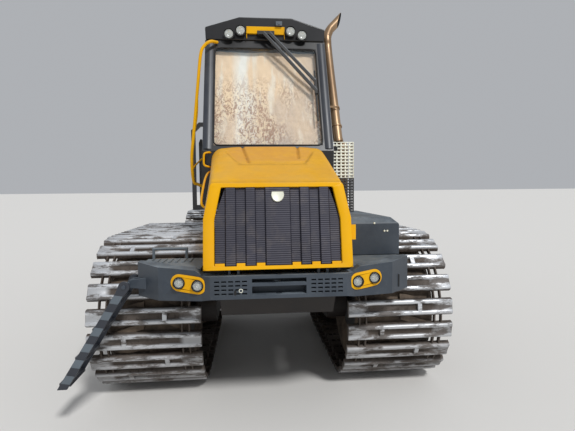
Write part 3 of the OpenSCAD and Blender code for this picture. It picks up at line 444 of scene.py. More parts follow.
def rubber(name):
    """Dark rubber with paler dried soil in clouds."""
    f = Finish(name)
    soil = f.ranged(f.noise(5.0, 8, 0.65), 0.34, 0.62)
    body = f.mixed(soil, colour(56, 49, 44), colour(112, 98, 84))
    return f.shade({"Base Color": body, "Roughness": 0.85}, f.noise(120.0, 5), 0.3, 0.003)


def sun_cloth(name):
    """A foil sun screen: long pale streaks, which are painted reflections, and dark creases with
    glints beside them, painted shade and highlights that thicken downwards.
    """
    f = Finish(name)
    broad = f.ranged(f.noise(1.8, 3, 0.5, (1.0, 1, 0.4)), 0.36, 0.66)
    body = f.mixed(broad, colour(255, 222, 178), colour(206, 184, 162))
    aside = f.maths("ABSOLUTE", f.maths("ADD", f.part(f.coords, "X"), 0.25))
    ragged = f.ranged(f.noise(3.4, 4, 0.55, (2.4, 1, 0.07)), 0.32, 0.50)
    # Painted reflection: a pale streak to the left of the middle
    reflection_streak = f.times(f.ranged(aside, 0.16, 0.06), ragged)
    body = f.mixed(reflection_streak, body, colour(255, 252, 240))
    # Painted highlights: thin pale streaks
    thin = f.ranged(f.noise(5.0, 3, 0.5, (2.2, 1, 0.06)), 0.54, 0.66, 0.0, 0.8)
    body = f.mixed(thin, body, colour(255, 244, 222))
    creases = f.noise(13.0, 6, 0.66, (1.8, 1, 1.1), 1.8)
    patches = f.ranged(f.noise(2.6, 3, 0.5, (1.5, 1, 0.6)), 0.40, 0.52, 0.15, 1.0)
    low_down = f.times(f.ranged(f.part(f.coords, "Z"), 3.25, 2.85), patches)
    # Painted shade in the creases, and painted highlights beside them
    crease_shade = f.times(f.ranged(creases, 0.50, 0.53, 0.0, 0.8), low_down)
    body = f.mixed(crease_shade, body, colour(158, 108, 66))
    glints = f.times(f.ranged(creases, 0.46, 0.42, 0.0, 0.7), low_down)
    body = f.mixed(glints, body, colour(255, 230, 184))
    look = {"Base Color": body, "Roughness": 0.5, "Sheen Weight": 0.3}
    return f.shade(look, creases, 0.6, 0.01)


def woven(name, base, thread):
    """Cloth: two threads in even bands, which are also its relief."""
    f = Finish(name)
    wave = f.waves(90)
    body = f.mixed(wave, colour(*base), colour(*thread))
    return f.shade({"Base Color": body, "Roughness": 0.9, "Sheen Weight": 0.4}, wave, 0.3, 0.001)


def clear_glass(name, tint, alpha):
    """Glass as a thin tinted film: mostly see-through, with the shader's own reflection."""
    f = Finish(name)
    film = f.ranged(f.noise(3.0, 5), 0.3, 0.7, 0.05, 0.14)
    return f.shade({"Roughness": film, "Base Color": colour(*tint), "Alpha": alpha,
                    "Specular IOR Level": 0.9})


# %% The machine's finishes
SOIL = (132, 112, 90)
# The hood's dark marks in its creases are partly soiling and partly painted shade
YELLOW = painted("amber paint", (238, 176, 2), (226, 162, 4), (206, 160, 84), (168, 116, 30),
                 dust_and_sheen=0.8, wear=0.3, rough=0.34, coat=0.05, shine=0.15,
                 grime=(("dusted", (208, 150, 72)), ("grime", (132, 88, 14))))
# The pale cover on this paint's upward faces is a painted reflection of the sky, not dust
BUMPER = painted("blue-grey paint", (56, 64, 74), (46, 52, 60), (130, 140, 148), (88, 90, 92),
                 dust_and_sheen=0.95, wear=0.5)
FRAME = painted("chassis paint", (29, 25, 25), (24, 21, 21), (104, 88, 72), (64, 50, 40),
                dust_and_sheen=0.6, wear=0.7, rough=0.6)
DECK = painted("deck paint", (96, 106, 115), (82, 91, 99), (150, 150, 144), (64, 68, 72),
               dust_and_sheen=0.5, wear=0.6, rough=0.38)
CAB = painted("cab paint", (31, 31, 34), (25, 26, 28), (92, 90, 86), (70, 70, 72),
              dust_and_sheen=0.35, wear=0.2, rough=0.34, coat=0.2)
POSTS = painted("post trim", (52, 56, 64), (44, 47, 54), (110, 112, 114), (60, 64, 70),
                dust_and_sheen=0.3, wear=0.2, rough=0.35)
BLACK = painted("rubber trim", (24, 24, 26), (20, 20, 21), (80, 76, 70), (44, 44, 44),
                dust_and_sheen=0.3, wear=0.1, rough=0.6)
GRILLE = mesh_sheet("grille mesh")
CRANE = painted("dark crane paint", (44, 46, 49), (38, 39, 42), SOIL, (96, 92, 86),
                dust_and_sheen=0.5, wear=0.6, rough=0.45)
IRON = painted("engine iron", (70, 72, 74), (56, 58, 60), SOIL, (90, 70, 50), rough=0.6)
EXHAUST = painted("heat-browned steel", (166, 138, 108), (116, 92, 70), (148, 126, 100),
                  (84, 62, 44), dust_and_sheen=0.3, wear=0.5, rough=0.34, metal=0.6)
BRIGHT = painted("bright sheet", (244, 244, 226), (230, 230, 212), (160, 150, 130),
                 (130, 126, 112), dust_and_sheen=0.3, wear=0.3, rough=0.35, metal=0.1)
SOOT = painted("soot", (16, 14, 13), (12, 11, 10), (40, 34, 30), (24, 20, 18), rough=0.9)
CHROME = painted("chromed rod", (214, 216, 220), (200, 203, 208), (170, 160, 146),
                 (130, 128, 124), dust_and_sheen=0.2, wear=0.1, rough=0.12, metal=1.0)
STEEL = worn_steel("track steel")
TYRE = rubber("soiled rubber")
SHADE = sun_cloth("sun screen")
CLOTH = woven("seat cloth", (34, 35, 38), (62, 64, 70))
GLASS = clear_glass("window glass", (160, 176, 186), 0.10)
LENS = clear_glass("lamp lens", (226, 230, 222), 0.30)


# %% [markdown]
# The tracks carry the eye. Each track is a fixed loop of pressed steel shoes round two tyres. A
# real shoe has two ridges with a channel between them, flat pads at its ends and one short stud.
# It could be an array of a modelled shoe; here the shoe is a loft over stations across the
# track, and one array of turns and places sets all 35 round the loop.

# %% Sizes of the running gear
TRACKS = ["track_front_left", "track_front_right", "track_rear_left", "track_rear_right"]
SHOES = 35
SHOE_W = 0.146
TRACK_GAP = 0.0004
wheel_low, wheel_high = corners("wheel_1_right")
TYRE_R = (wheel_high[2] - wheel_low[2]) / 2
WHEEL_Z = (wheel_high[2] + wheel_low[2]) / 2
LOOP_R = TYRE_R + TRACK_GAP
BOGIE = corners("wheel_2_right")[0][1] - wheel_low[1]
track_low, track_high = corners("track_front_right")
TRACK_X = (track_high[0] + track_low[0]) / 2
SHOE_HALF = (track_high[0] - track_low[0]) / 2
LOOP = 2 * BOGIE + 2 * np.pi * LOOP_R
SHOE_AXES = np.array([[0, 0, 1], [1, 0, 0], [0, -1, 0]])
print("tyre radius", round(TYRE_R, 3), "loop", round(LOOP, 3), "pitch", round(LOOP / SHOES, 4))


def loop_frames(run, mid_y):
    """Turns and places on the loop a distance along it: straight, round one tyre, and back.
    A shoe's own axes are along the track, out of it, and across the machine."""
    run = np.asarray(run) % LOOP
    half = LOOP / 2
    far = np.where(run >= half, np.pi, 0)
    t = run % half
    bend = np.clip((t - BOGIE) / LOOP_R, 0, np.pi)
    u = np.minimum(t, BOGIE) - BOGIE / 2
    y = u + LOOP_R * np.sin(bend)
    z = -LOOP_R * np.cos(bend)
    c, s = np.cos(far), np.sin(far)
    turns = spin(bend + far) @ SHOE_AXES
    return turns, spread(0, mid_y + c * y - s * z, WHEEL_Z + s * y + c * z)


# %% One shoe
SHOE_ROWS = np.array([[-0.5, 0.002], [-0.5, 0.030], [-0.42, 0.052], [-0.39, 0.055],
                      [-0.27, 0.055], [-0.23, 0.052], [-0.16, 0.030], [0, 0.028],
                      [0.16, 0.030], [0.23, 0.052], [0.27, 0.055], [0.39, 0.055],
                      [0.42, 0.052], [0.5, 0.030], [0.5, 0.002]])
PAD, PAD_OUT = 0.19, 0.049


def shoe_shape():
    """Stations across the shoe: its channel fills up to a flat pad near both ends."""
    across = SHOE_HALF * np.array([-1, -0.985, -0.7, -0.6, -0.52, 0, 0.52, 0.6, 0.7, 0.985, 1])
    channel = smoothstep((SHOE_HALF - PAD - np.abs(across) + 0.04) / 0.06)[:, None]
    along, out = SHOE_ROWS.T * [[SHOE_W], [1]]
    middle = np.abs(SHOE_ROWS[:, 0]) < 0.2
    out = np.where(middle, PAD_OUT + channel * (out - PAD_OUT), out)
    out = out - 0.004 * (np.abs(across)[:, None] > 0.99 * SHOE_HALF)
    return loft(spread(along, out, across[:, None]))


def stud(side):
    """A short cross cleat that stands in the channel towards one end."""
    mid = side * 0.17
    return box((-0.052, 0.022, mid - 0.018), (0.052, 0.0545, mid + 0.018))


LINK_END, LINK_OUT, LINK_R = 0.062, 0.021, 0.018


def link_pair(across):
    """Two side plates that join a shoe to the next, with a bolt through each end."""
    outline = capsule((-LINK_END, LINK_OUT), (LINK_END, LINK_OUT), LINK_R, 5)
    plates = [slab(outline, mid - 0.006, mid + 0.006, 2) for mid in (across - 0.03, across + 0.03)]
    bolts = [rod((x, LINK_OUT, across - 0.05), (x, LINK_OUT, across + 0.05), 0.011, 6)
             for x in (-LINK_END, LINK_END)]
    return joined(*plates, *bolts)


def side_guide(side):
    """A plate at the shoe's end that leans in beside the tyre's shoulder."""
    outline = [[-0.045, 0.004], [0.045, 0.004], [0.024, -0.05], [-0.024, -0.05]]
    x = side * (SHOE_HALF - 0.055)
    return slab(outline, x - 0.007, x + 0.007, 2)


SHOE = shoe_shape()
SHOE_LEFT = joined(SHOE, stud(-1), side_guide(-1), side_guide(1))
SHOE_RIGHT = joined(SHOE, stud(1), side_guide(-1), side_guide(1))
LINKS = joined(link_pair(-0.34), link_pair(0.34))
print("faces a shoe", len(SHOE_LEFT[1]), "faces of its links", len(LINKS[1]))


# %% Four tracks
def mark(obj, name, value_at):
    """Writes an attribute whose value at each point depends on the point's place."""
    attribute = obj.data.attributes.new(name, "FLOAT", "POINT")
    attribute.data.foreach_set("value", value_at(*read_points(obj).T))


def track(node):
    """All the shoes of one track, the studs to either side in turn, and the links between."""
    low, high = corners(node)
    mid_x, mid_y = (low[0] + high[0]) / 2, (low[1] + high[1]) / 2
    pitch = LOOP / SHOES
    centres = (np.arange(SHOES) + 0.5) * pitch
    made = joined(copies(SHOE_LEFT, *loop_frames(centres[::2], mid_y)),
                  copies(SHOE_RIGHT, *loop_frames(centres[1::2], mid_y)),
                  copies(LINKS, *loop_frames(centres + pitch / 2, mid_y)))
    obj = piece(node + "_shoes", moved(made, (mid_x, 0, 0)), STEEL, node, [node], angle=50)

    def worn(x, y, z):
        """By the distance out from the loop's middle line, so ridges and pads are bright, partly as
        wear and partly as a painted highlight.
        """
        ahead = np.clip(np.abs(y - mid_y) - BOGIE / 2, 0, None)
        return smoothstep((np.hypot(ahead, z - WHEEL_Z) - LOOP_R - 0.0425) / 0.011)

    mark(obj, "worn", worn)


for node in TRACKS:
    track(node)


# %% [markdown]
# The tyres show between the shoes and from the side: a round-shouldered body, two rows of curved
# lugs and a dished rim. Lugs could be bumps in the finish, but they stand in the wheel's outline,
# so the body is a turned profile and a lug is a four-cornered section carried along a curve
# that leans back as it runs to the shoulder.

# %% Tyre and rim
LUGS = 22


def tread_radius(x):
    """The tyre's outer radius at a distance from its middle: level, then round at the shoulder."""
    return np.interp(np.abs(x), [0, 0.225, 0.315, 0.352], [TYRE_R, TYRE_R, 0.625, 0.54])


def tyre_body():
    """Half a profile from the bead over the shoulder to the middle, mirrored and turned."""
    x = np.array([0.30, 0.335, 0.350, 0.352, 0.345, 0.325, 0.29, 0.22, 0.12, 0])
    r = np.array([0.322, 0.385, 0.45, 0.52, 0.56, 0.592, 0.612, 0.621, 0.624, 0.625])
    rows = np.column_stack([np.concatenate([x, -x[-2::-1]]), np.concatenate([r, r[-2::-1]])])
    inner = [[-0.30, 0.31], [0.30, 0.31]]
    return revolve(np.vstack([rows, inner, rows[:1]]), (0, 0, 0), 0, 64)


def lug(side):
    """Stations from the middle to the shoulder; the lug leans back by an angle that grows as
    the square of the distance."""
    t = np.linspace(0, 1, 6)
    x = 0.012 + 0.336 * t
    lean = 0.10 * t + 0.10 * t**2
    half = (0.024 + 0.012 * t) / TYRE_R
    top = tread_radius(x) - 0.0006
    low = top - 0.05
    angle = np.stack([lean - half * 1.25, lean + half * 1.25, lean + half, lean - half], -1)
    radius = np.stack([low, low, top, top], -1)
    return loft(spread(side * x[:, None], radius * np.cos(angle), radius * np.sin(angle)))


def ringed(shape, angles):
    """The shape once for each angle about the axle."""
    return copies(shape, spin(angles), np.zeros((len(angles), 3)))


def lug_rings():
    """The lugs of one side stand between those of the other."""
    return joined(ringed(lug(-1), around(LUGS) + np.pi / LUGS), ringed(lug(1), around(LUGS)))


def rim_shape():
    """The dish seen from outside, its hub and a ring of wheel nuts."""
    rows = [[-0.30, 0.323], [0.30, 0.324], [0.302, 0.306], [0.285, 0.302], [-0.05, 0.296],
            [-0.08, 0.27], [-0.06, 0.215], [0.0, 0.20], [0.018, 0.15], [0.022, 0.0]]
    nut = revolve([[-0.01, 0], [-0.01, 0.018], [0.018, 0.018], [0.024, 0.012], [0.024, 0]],
                  (0, 0.175, 0), 0, 6)
    hub = revolve([[0.0, 0.0], [0.0, 0.115], [0.06, 0.11], [0.075, 0.09], [0.078, 0]],
                  (0, 0, 0), 0, 32)
    return joined(revolve(rows, (0, 0, 0), 0, 48), ringed(nut, around(12)), hub)


TYRE_SHAPE = joined(tyre_body(), lug_rings())
RIM_SHAPE = rim_shape()
for number in (1, 2, 3, 4):
    for side, sign in (("left", -1), ("right", 1)):
        node = f"wheel_{number}_{side}"
        low, high = corners(node)
        middle = np.array([sign * TRACK_X, (low[1] + high[1]) / 2, WHEEL_Z])
        tyre, rim = ((points * [sign, 1, 1] + middle, faces)
                     for points, faces in (TYRE_SHAPE, RIM_SHAPE))
        piece(f"tyre_{number}_{side}", tyre, TYRE, node, [node], angle=40)
        piece(f"rim_{number}_{side}", rim, CRANE, node, angle=40)


# %% [markdown]
# The hood is one pressed skin. Seen from the front it is a leaning frame round the grille, with a
# brow over it and a dished top that rises to the cab. It could be cut from a block, but a
# pressed sheet has soft creases, so its skin is a blend of a front and a rear section, and
# formulas press the dish and its ribs into it. A Solidify modifier gives it its wall.

# %% Leaning planes and the hood's sizes
def leaning(y, z, lean):
    """Returns a function from (across, up the slope, forwards) to places in the frame."""
    c, s = np.cos(lean), np.sin(lean)

    def place(x, up, out):
        x, up, out = (np.asarray(v, float) for v in (x, up, out))
        return spread(x, y + up * s - out * c, z + up * c + out * s)

    return place


(_, HOOD_FRONT, _), (_, HOOD_REAR, HOOD_TOP) = corners("hood_shell")
HOOD_LOW = 1.275
HOOD_HALF, HOOD_REAR_HALF = 0.55, 0.605
BROW_Z = 1.905
SET_BACK = 0.12
GRILLE_LEAN = np.arctan(SET_BACK / (BROW_Z - HOOD_LOW))
on_grille = leaning(HOOD_FRONT, HOOD_LOW, GRILLE_LEAN)
GRILLE_TOP = (BROW_Z - HOOD_LOW) / np.cos(GRILLE_LEAN)
# How far the skin's middle rises at its rear, and how deep its dish, ribs and lip are pressed
RISE, DISH, RIB, LIP = 0.045, 0.026, 0.016, 0.014
# Each rib's distance from the middle plane at the brow and at the rear edge, and where it starts
RIBS = ((-0.12, -0.28, 0.50), (0.20, 0.30, 0.66))


# %% The pressed skin
def hood_section(half, top_half, knee, top, bend):
    """Half a section from the lower edge up to the middle of the top, as (x, z) points: an
    upright wall, a slope in from the knee, a round corner and a level top."""
    wall = np.column_stack([np.full(8, half), np.linspace(HOOD_LOW, knee, 8)])
    a = np.linspace(0, np.pi / 2, 9)
    middle = [top_half - bend, top - bend]
    corner = middle + bend * np.column_stack([np.cos(a), np.sin(a)])
    slope = wall[-1] + (corner[0] - wall[-1]) * np.linspace(0, 1, 7)[1:-1, None]
    across = np.linspace(top_half - bend, 0, 70)[1:]
    level = np.column_stack([across, np.full(len(across), top)])
    return np.vstack([wall, slope, corner, level])


def dish_edge(v):
    """Half the dish's width, which grows from the brow to the cab."""
    return 0.33 + 0.38 * (v - 0.5)


def pressed(x, v):
    """The dish, ribs and lip pressed into the top, each 0 to 1, where v runs from brow to cab."""
    dish = smoothstep((dish_edge(v) - np.abs(x)) / 0.06) * smoothstep((v - 0.46) / 0.14)
    dish = dish * (1 - 0.9 * smoothstep((v - 0.72) / 0.28))
    ribs = sum(np.exp(-(((x - near - (far - near) * v) / 0.014) ** 2))
               * smoothstep((v - start) / 0.1) for near, far, start in RIBS)
    lip = np.exp(-(((v - 0.05) / 0.02) ** 2))
    return dish, ribs, lip


def hood_skin():
    """Rings from the brow to the cab, each a blend of the two end sections."""
    v = np.linspace(0, 1, 60)[:, None]
    first = hood_section(HOOD_HALF, HOOD_HALF - 0.05, 1.64, BROW_Z, 0.025)
    last = hood_section(HOOD_REAR_HALF, HOOD_REAR_HALF, 2.10, HOOD_TOP, 0.10)
    x = first[:, 0] + v * (last[:, 0] - first[:, 0])
    z = first[:, 1] + v * (last[:, 1] - first[:, 1])
    lean = SET_BACK * (first[:, 1] - HOOD_LOW) / (BROW_Z - HOOD_LOW)
    y = HOOD_FRONT + lean + v * (HOOD_REAR - HOOD_FRONT - lean)
    x, y, z = (np.hstack([a, a[:, -2::-1] * sign]) for a, sign in ((x, -1), (y, 1), (z, 1)))
    on_top = smoothstep((z - (BROW_Z - 0.03 + v * (HOOD_TOP - BROW_Z - 0.06))) / 0.02)
    rise = RISE * v**2 * (1 - (x / HOOD_REAR_HALF) ** 4)
    dish, ribs, lip = pressed(x, v)
    z = z + on_top * (rise - DISH * dish - RIB * ribs - LIP * lip)
    return loft(spread(x, y, z), closed=False, ends=False)


# %% The frame round the grille
KNEE = 0.370
SHOULDER = HOOD_HALF - 0.05
OUTER = np.array([[-HOOD_HALF, 0], [HOOD_HALF, 0], [HOOD_HALF, KNEE + 0.003],
                  [SHOULDER, GRILLE_TOP - 0.002], [-SHOULDER, GRILLE_TOP - 0.002],
                  [-HOOD_HALF, KNEE + 0.003]])
OPENING_TOP = GRILLE_TOP - 0.030
INNER = np.array([[-0.47, 0.028], [0.47, 0.028], [0.47, KNEE], [0.42, OPENING_TOP],
                  [-0.42, OPENING_TOP], [-0.47, KNEE]])
PANEL_EDGES = np.array([0.094, 0.167, 0.240, 0.313, 0.389, 0.470])


def round_corners(outline, radius, steps=4):
    """Each corner becomes a short curve from the point before it to the point after it."""
    before = np.roll(outline, 1, axis=0) - outline
    after = np.roll(outline, -1, axis=0) - outline
    a = outline + radius * before / np.linalg.norm(before, axis=1, keepdims=True)
    b = outline + radius * after / np.linalg.norm(after, axis=1, keepdims=True)
    t = np.linspace(0, 1, steps)[None, :, None]
    curve = (1 - t) ** 2 * a[:, None] + 2 * t * (1 - t) * outline[:, None] + t**2 * b[:, None]
    return curve.reshape(-1, outline.shape[1])


def hood_face():
    """A closed band: from the outer edge over the front to the inner one, and back behind."""
    loops = [(OUTER, 0.022, -0.004), (OUTER * [0.99, 0.995] + [0, 0.002], 0.02, 0.0),
             (INNER * [1.01, 1.0], 0.014, 0.0), (INNER, 0.012, -0.004), (INNER, 0.012, -0.03),
             (OUTER * 0.99, 0.02, -0.03), (OUTER, 0.022, -0.004)]
    rings = [on_grille(*round_corners(o, r).T, out) for o, r, out in loops]
    return loft(np.array(rings), ends=False)


def lower_tabs():
    """Yellow tabs that stand up from the lower edge between the grille's forward panels."""
    tabs = []
    for start, end in PANEL_EDGES.reshape(3, 2):
        x, up = [start + 0.006, end - 0.004, end - 0.004, start + 0.006], [0.02, 0.02, 0.05, 0.05]
        tabs.append(loft([on_grille(x, up, out) for out in (-0.022, -0.008)]))
    return both(joined(*tabs))


skin = piece("hood_skin", hood_skin(), YELLOW, "hood_shell", ["hood_shell"],
             thick=0.012, angle=50)
piece("hood_face", joined(hood_face(), lower_tabs()), YELLOW, "hood_shell", bevel=0.003, angle=50)


# %% Where dust, soiling and painted shade lie on the hood
def on_hood(x, y, z):
    """How far back a point of the skin is, and whether it is on the top."""
    v = (y - HOOD_FRONT - SET_BACK) / (HOOD_REAR - HOOD_FRONT - SET_BACK)
    return v, z > BROW_Z - 0.08 + v * (HOOD_TOP - BROW_Z - 0.06)


def dusted(x, y, z):
    """Dust lies on the dish's floor."""
    v, on_top = on_hood(x, y, z)
    inside = smoothstep((dish_edge(v) - 0.03 - np.abs(x)) / 0.05)
    return 0.8 * on_top * inside * smoothstep((v - 0.58) / 0.08)


def creases(x, y, z):
    """Dark marks lie along the dish's edges, beside the ribs, along its front edge and under the
    lip: partly soiling, partly painted shade in the creases.
    """
    v, on_top = on_hood(x, y, z)
    _, ribs, lip = pressed(x, v)
    sides = np.exp(-(((np.abs(x) - dish_edge(v) + 0.03) / 0.016) ** 2))
    sides = sides * smoothstep((v - 0.44) / 0.05) * (1 - smoothstep((v - 0.75) / 0.2))
    # Painted shade: a dark band along the dish's front edge
    crest = (np.abs(x) < dish_edge(v)) * np.exp(-(((v - 0.45) / 0.018) ** 2))
    return on_top * np.clip(0.45 * sides + 0.4 * crest + 0.55 * ribs + 0.3 * lip, 0, 0.6)


mark(skin, "dusted", dusted)
mark(skin, "grime", creases)


# %% [markdown]
# Behind the frame stands a dark mesh folded into upright panels, wide in the middle and narrow at
# the sides, every second one set forward. The panels could be boxes set side by side; a stepped
# line drawn once across and carried up to an edge that follows the frame gives the folds too.
# A blank plate sits where such a machine has a badge.

# %% The folded grille
def grille_shape():
    """The stepped line across, its height cut to the opening, and a flat back behind it."""
    starts = np.append(0, PANEL_EDGES[:-1])
    x = np.column_stack([starts + 0.004, PANEL_EDGES - 0.004]).ravel()
    out = np.repeat(np.where(np.arange(len(starts)) % 2 == 0, -0.006, -0.026), 2)
    x, out = np.concatenate([-x[::-1], x]), np.concatenate([out[::-1], out])
    side = KNEE + (0.47 - np.abs(x)) / 0.05 * (OPENING_TOP - KNEE)
    up = 0.03 + np.linspace(0, 1, 24)[:, None] * (np.minimum(OPENING_TOP, side) - 0.03)
    front, back = on_grille(x, up, out), on_grille(x, up, -0.034)
    return loft(np.concatenate([front, back[:, ::-1]], axis=1))


def badge_shape():
    """A blank half-round plate: level on top, round below."""
    a = np.linspace(np.pi, 2 * np.pi, 17)
    x = np.concatenate([0.048 * np.cos(a), [0.044, -0.044]])
    up = np.concatenate([0.056 * np.sin(a), [0.022, 0.022]])
    mid = GRILLE_TOP - 0.088
    return loft([on_grille(x * k, mid + up * k, out) for k, out in
                 ((1, -0.008), (1, 0.004), (0.93, 0.008), (0.88, 0.006))])


piece("grille_panels", grille_shape(), GRILLE, "hood_grille", ["hood_grille"],
      bevel=0.002, angle=50)
piece("blank_badge", badge_shape(), BRIGHT, "hood_grille", angle=60)


# %% [markdown]
# The cab is a dark box of strong posts with big panes. Its solid is right, so a copy with joined
# faces and rounded edges stands for it. What the CAD model leaves out comes as trim: a rubber
# seal round each pane and grey strips on the corner posts. They could be bands of colour on the
# cab, but small surfaces of their own catch the light as real trim does.

# %% Cab and its glass
CAB_HALF = 0.70
SCREEN_FOOT, SCREEN_HEAD = (-3.50, 2.27), (-2.95, 3.60)
SCREEN_LEAN = np.arctan2(*np.subtract(SCREEN_HEAD, SCREEN_FOOT))
on_screen = leaning(*SCREEN_FOOT, SCREEN_LEAN)
SCREEN_UP = (np.array([2.33, 3.50]) - SCREEN_FOOT[1]) / np.cos(SCREEN_LEAN)
SCREEN_HALF = 0.585

for node, bevel in (("cab_shell", 0.008), ("cab_roof", 0.014), ("cab_door", 0.006)):
    softened(node, CAB, bevel)
for node in ("cab_glass", "door_glass"):
    softened(node, GLASS, 0.001)


# %% Rubber seals
def seal(corner_points, radius=0.008):
    """A rubber bead round a pane's rounded outline, closed on itself."""
    loop = round_corners(np.asarray(corner_points, float), 0.06, 5)
    return tube(np.vstack([loop, loop[:2]]), radius, 8)


screen_edge = np.array([[-SCREEN_HALF, SCREEN_UP[0]], [SCREEN_HALF, SCREEN_UP[0]],
                        [SCREEN_HALF, SCREEN_UP[1]], [-SCREEN_HALF, SCREEN_UP[1]]])
side_pane = np.array([[-3.40, 2.28], [-1.56, 2.28], [-1.59, 3.46], [-2.91, 3.46]])
door_pane = np.array([[-2.83, 2.15], [-1.89, 2.15], [-1.89, 3.41], [-2.83, 3.41]])
pane_seals = joined(seal(on_screen(*screen_edge.T, 0.002)),
                    seal(np.insert(side_pane, 0, CAB_HALF + 0.001, axis=1)))
door_seal = seal(np.insert(door_pane, 0, -CAB_HALF - 0.001, axis=1))
piece("pane_seals", pane_seals, BLACK, "cab_shell", angle=60)
piece("door_seal", door_seal, BLACK, "cab_door", angle=60)


# %% Corner posts
def corner_post(sign):
    """A cover strip beside the screen: a shallow arched section carried up the slope."""
    x = sign * np.linspace(SCREEN_HALF + 0.02, CAB_HALF - 0.006, 9)
    arch = 0.012 * np.sin(np.linspace(0, np.pi, 9))
    up = np.linspace(0.02, 1.41, 12)[:, None]
    front = on_screen(x, up, 0.002 + arch)
    back = on_screen(x[::-1], up, -0.003)
    return loft(np.concatenate([front, back], axis=1))


piece("corner_posts", joined(corner_post(-1), corner_post(1)), POSTS, "cab_shell", angle=40)


# %% [markdown]
# Behind the screen hangs a crinkled sun screen.

# %% Sun screen
CLOTH_W, CLOTH_H, CLOTH_FOOT = 1.22, 1.255, 0.08


def shade_grid():
    """Long upright folds, plus small creases from waves in three directions."""
    x = np.linspace(-CLOTH_W / 2, CLOTH_W / 2, 150)[None, :]
    up = np.linspace(CLOTH_FOOT, CLOTH_FOOT + CLOTH_H, 150)[:, None]
    folds = 0.004 * np.sin(9 * x + 1.2 * np.sin(2.1 * up)) + 0.002 * np.sin(23 * x - 3 * up)
    waves = np.sin(61 * x + 24 * up) + np.sin(43 * up - 37 * x) + np.sin(71 * up + 9 * x)
    waist = 1 - 0.03 * np.sin(np.pi * (up - CLOTH_FOOT) / CLOTH_H)
    return on_screen(x * waist, up, -0.074 + folds + 0.0012 * waves)


cloth = loft(shade_grid(), closed=False, ends=False)
shade = piece("sun_screen", cloth, SHADE, "sunshade", ["sunshade"], thick=0.0015, angle=60)


# %% [markdown]
# The operator's seat is a cushion and a back on a bellows. A pad could be a box with a wide bevel,
# but its top swells and its sides pull in, so each is a sphere's points pushed towards a box.

# %% Operator's seat
def pad(centre, half, lean=0.0, power=0.35):
    """A sphere's points with each coordinate's size raised to a power, which squares the form."""
    a = np.linspace(-np.pi / 2, np.pi / 2, 25)[:, None]
    b = around(48)[None, :]
    unit = spread(np.cos(a) * np.cos(b), np.cos(a) * np.sin(b), np.sin(a))
    pushed = np.sign(unit) * np.abs(unit) ** power
    pushed[..., 2] *= 1 - 0.25 * (pushed[..., 0] ** 2 + pushed[..., 1] ** 2) / 2
    return loft((pushed * half) @ spin(lean).T + centre, ends=False)


SEAT_Y, ARM_X, ARM_Z = -2.30, 0.29, 2.30
cushion_pad = pad((0, SEAT_Y - 0.025, 2.105), (0.245, 0.24, 0.065))
back_pad = pad((0, SEAT_Y + 0.245, 2.53), (0.225, 0.35, 0.05), np.radians(98))
cushion = piece("seat_cushion", cushion_pad, CLOTH, "operator_seat", ["operator_seat"], angle=60)
seat_back = piece("seat_back", back_pad, CLOTH, "operator_seat", angle=60)

# %% Bellows, plates and armrests
folds = np.linspace(1.785, 2.05, 24)
bellows = revolve(np.column_stack([folds, 0.075 + 0.012 * np.cos(np.arange(24) * np.pi)]),
                  (0, SEAT_Y, 0), 2, 32)
seat_plate = box((-0.27, SEAT_Y - 0.2, 2.05), (0.27, SEAT_Y + 0.16, 2.07))
cross_bar = box((-0.32, SEAT_Y + 0.02, 2.10), (0.32, SEAT_Y + 0.12, 2.14))
arm_pads = [pad((x, SEAT_Y - 0.02, ARM_Z), (0.035, 0.20, 0.025)) for x in (-ARM_X, ARM_X)]
arm_stands = [box((x - 0.012, SEAT_Y + 0.05, 2.13), (x + 0.012, SEAT_Y + 0.11, ARM_Z))
              for x in (-ARM_X, ARM_X)]
piece("seat_base", joined(bellows, seat_plate, cross_bar), BLACK, "operator_seat", bevel=0.004)
piece("seat_arms", joined(*arm_pads, *arm_stands), BLACK, "operator_seat", angle=50)


# %% [markdown]
# Four round work lamps stand on the roof's front, and two pairs sit in the bumper. A lamp could be
# cut from a cylinder; turned like a pot from a profile, its housing, bright bowl and lens are
# three short lists of numbers.

# %% Lamps
# Profiles of (depth behind the lamp's front, share of its radius): a housing open to the front,
# a lens that bulges to its middle, a reflector's inner and outer side, and a bezel's rim
POT = [[0.05, 0], [0.05, 0.8], [0.012, 1], [0, 1], [0, 0.88], [0.016, 0.84], [0.04, 0.3],
       [0.04, 0]]
GLASS_DISC = [[0.010, 0], [0.010, 1], [0.006, 1], [0.001, 0]]
BOWL = [[0, 1], [0.02, 0.75], [0.032, 0.3], [0.033, 0], [0.035, 0], [0.034, 0.32], [0.023, 0.8],
        [0, 1]]
BEZEL = [[0.05, 1], [0.05, 1.1], [-0.012, 1.1], [-0.016, 1], [-0.012, 0.9], [0.05, 0.85],
         [0.05, 1]]
ROOF_FRONT, BUMPER_FRONT = -2.965, -4.95
ROOF_LAMPS = [(sign * x, ROOF_FRONT - 0.05, z)
              for x, z in ((0.425, 3.655), (0.290, 3.697)) for sign in (-1, 1)]
HEAD_LAMPS = [(sign * x, BUMPER_FRONT + back, z)
              for x, back, z in ((0.597, 0.042, 1.158), (0.737, 0.084, 1.174))
              for sign in (-1, 1)]


def turned(profile, radius, lamps, back=0.0):
    """The profile turned about each lamp's axis, and moved back from its front."""
    rows = np.array(profile) * [1, radius]
    return joined(*(revolve(rows, (x, y + back, z), 1, 32) for x, y, z in lamps))


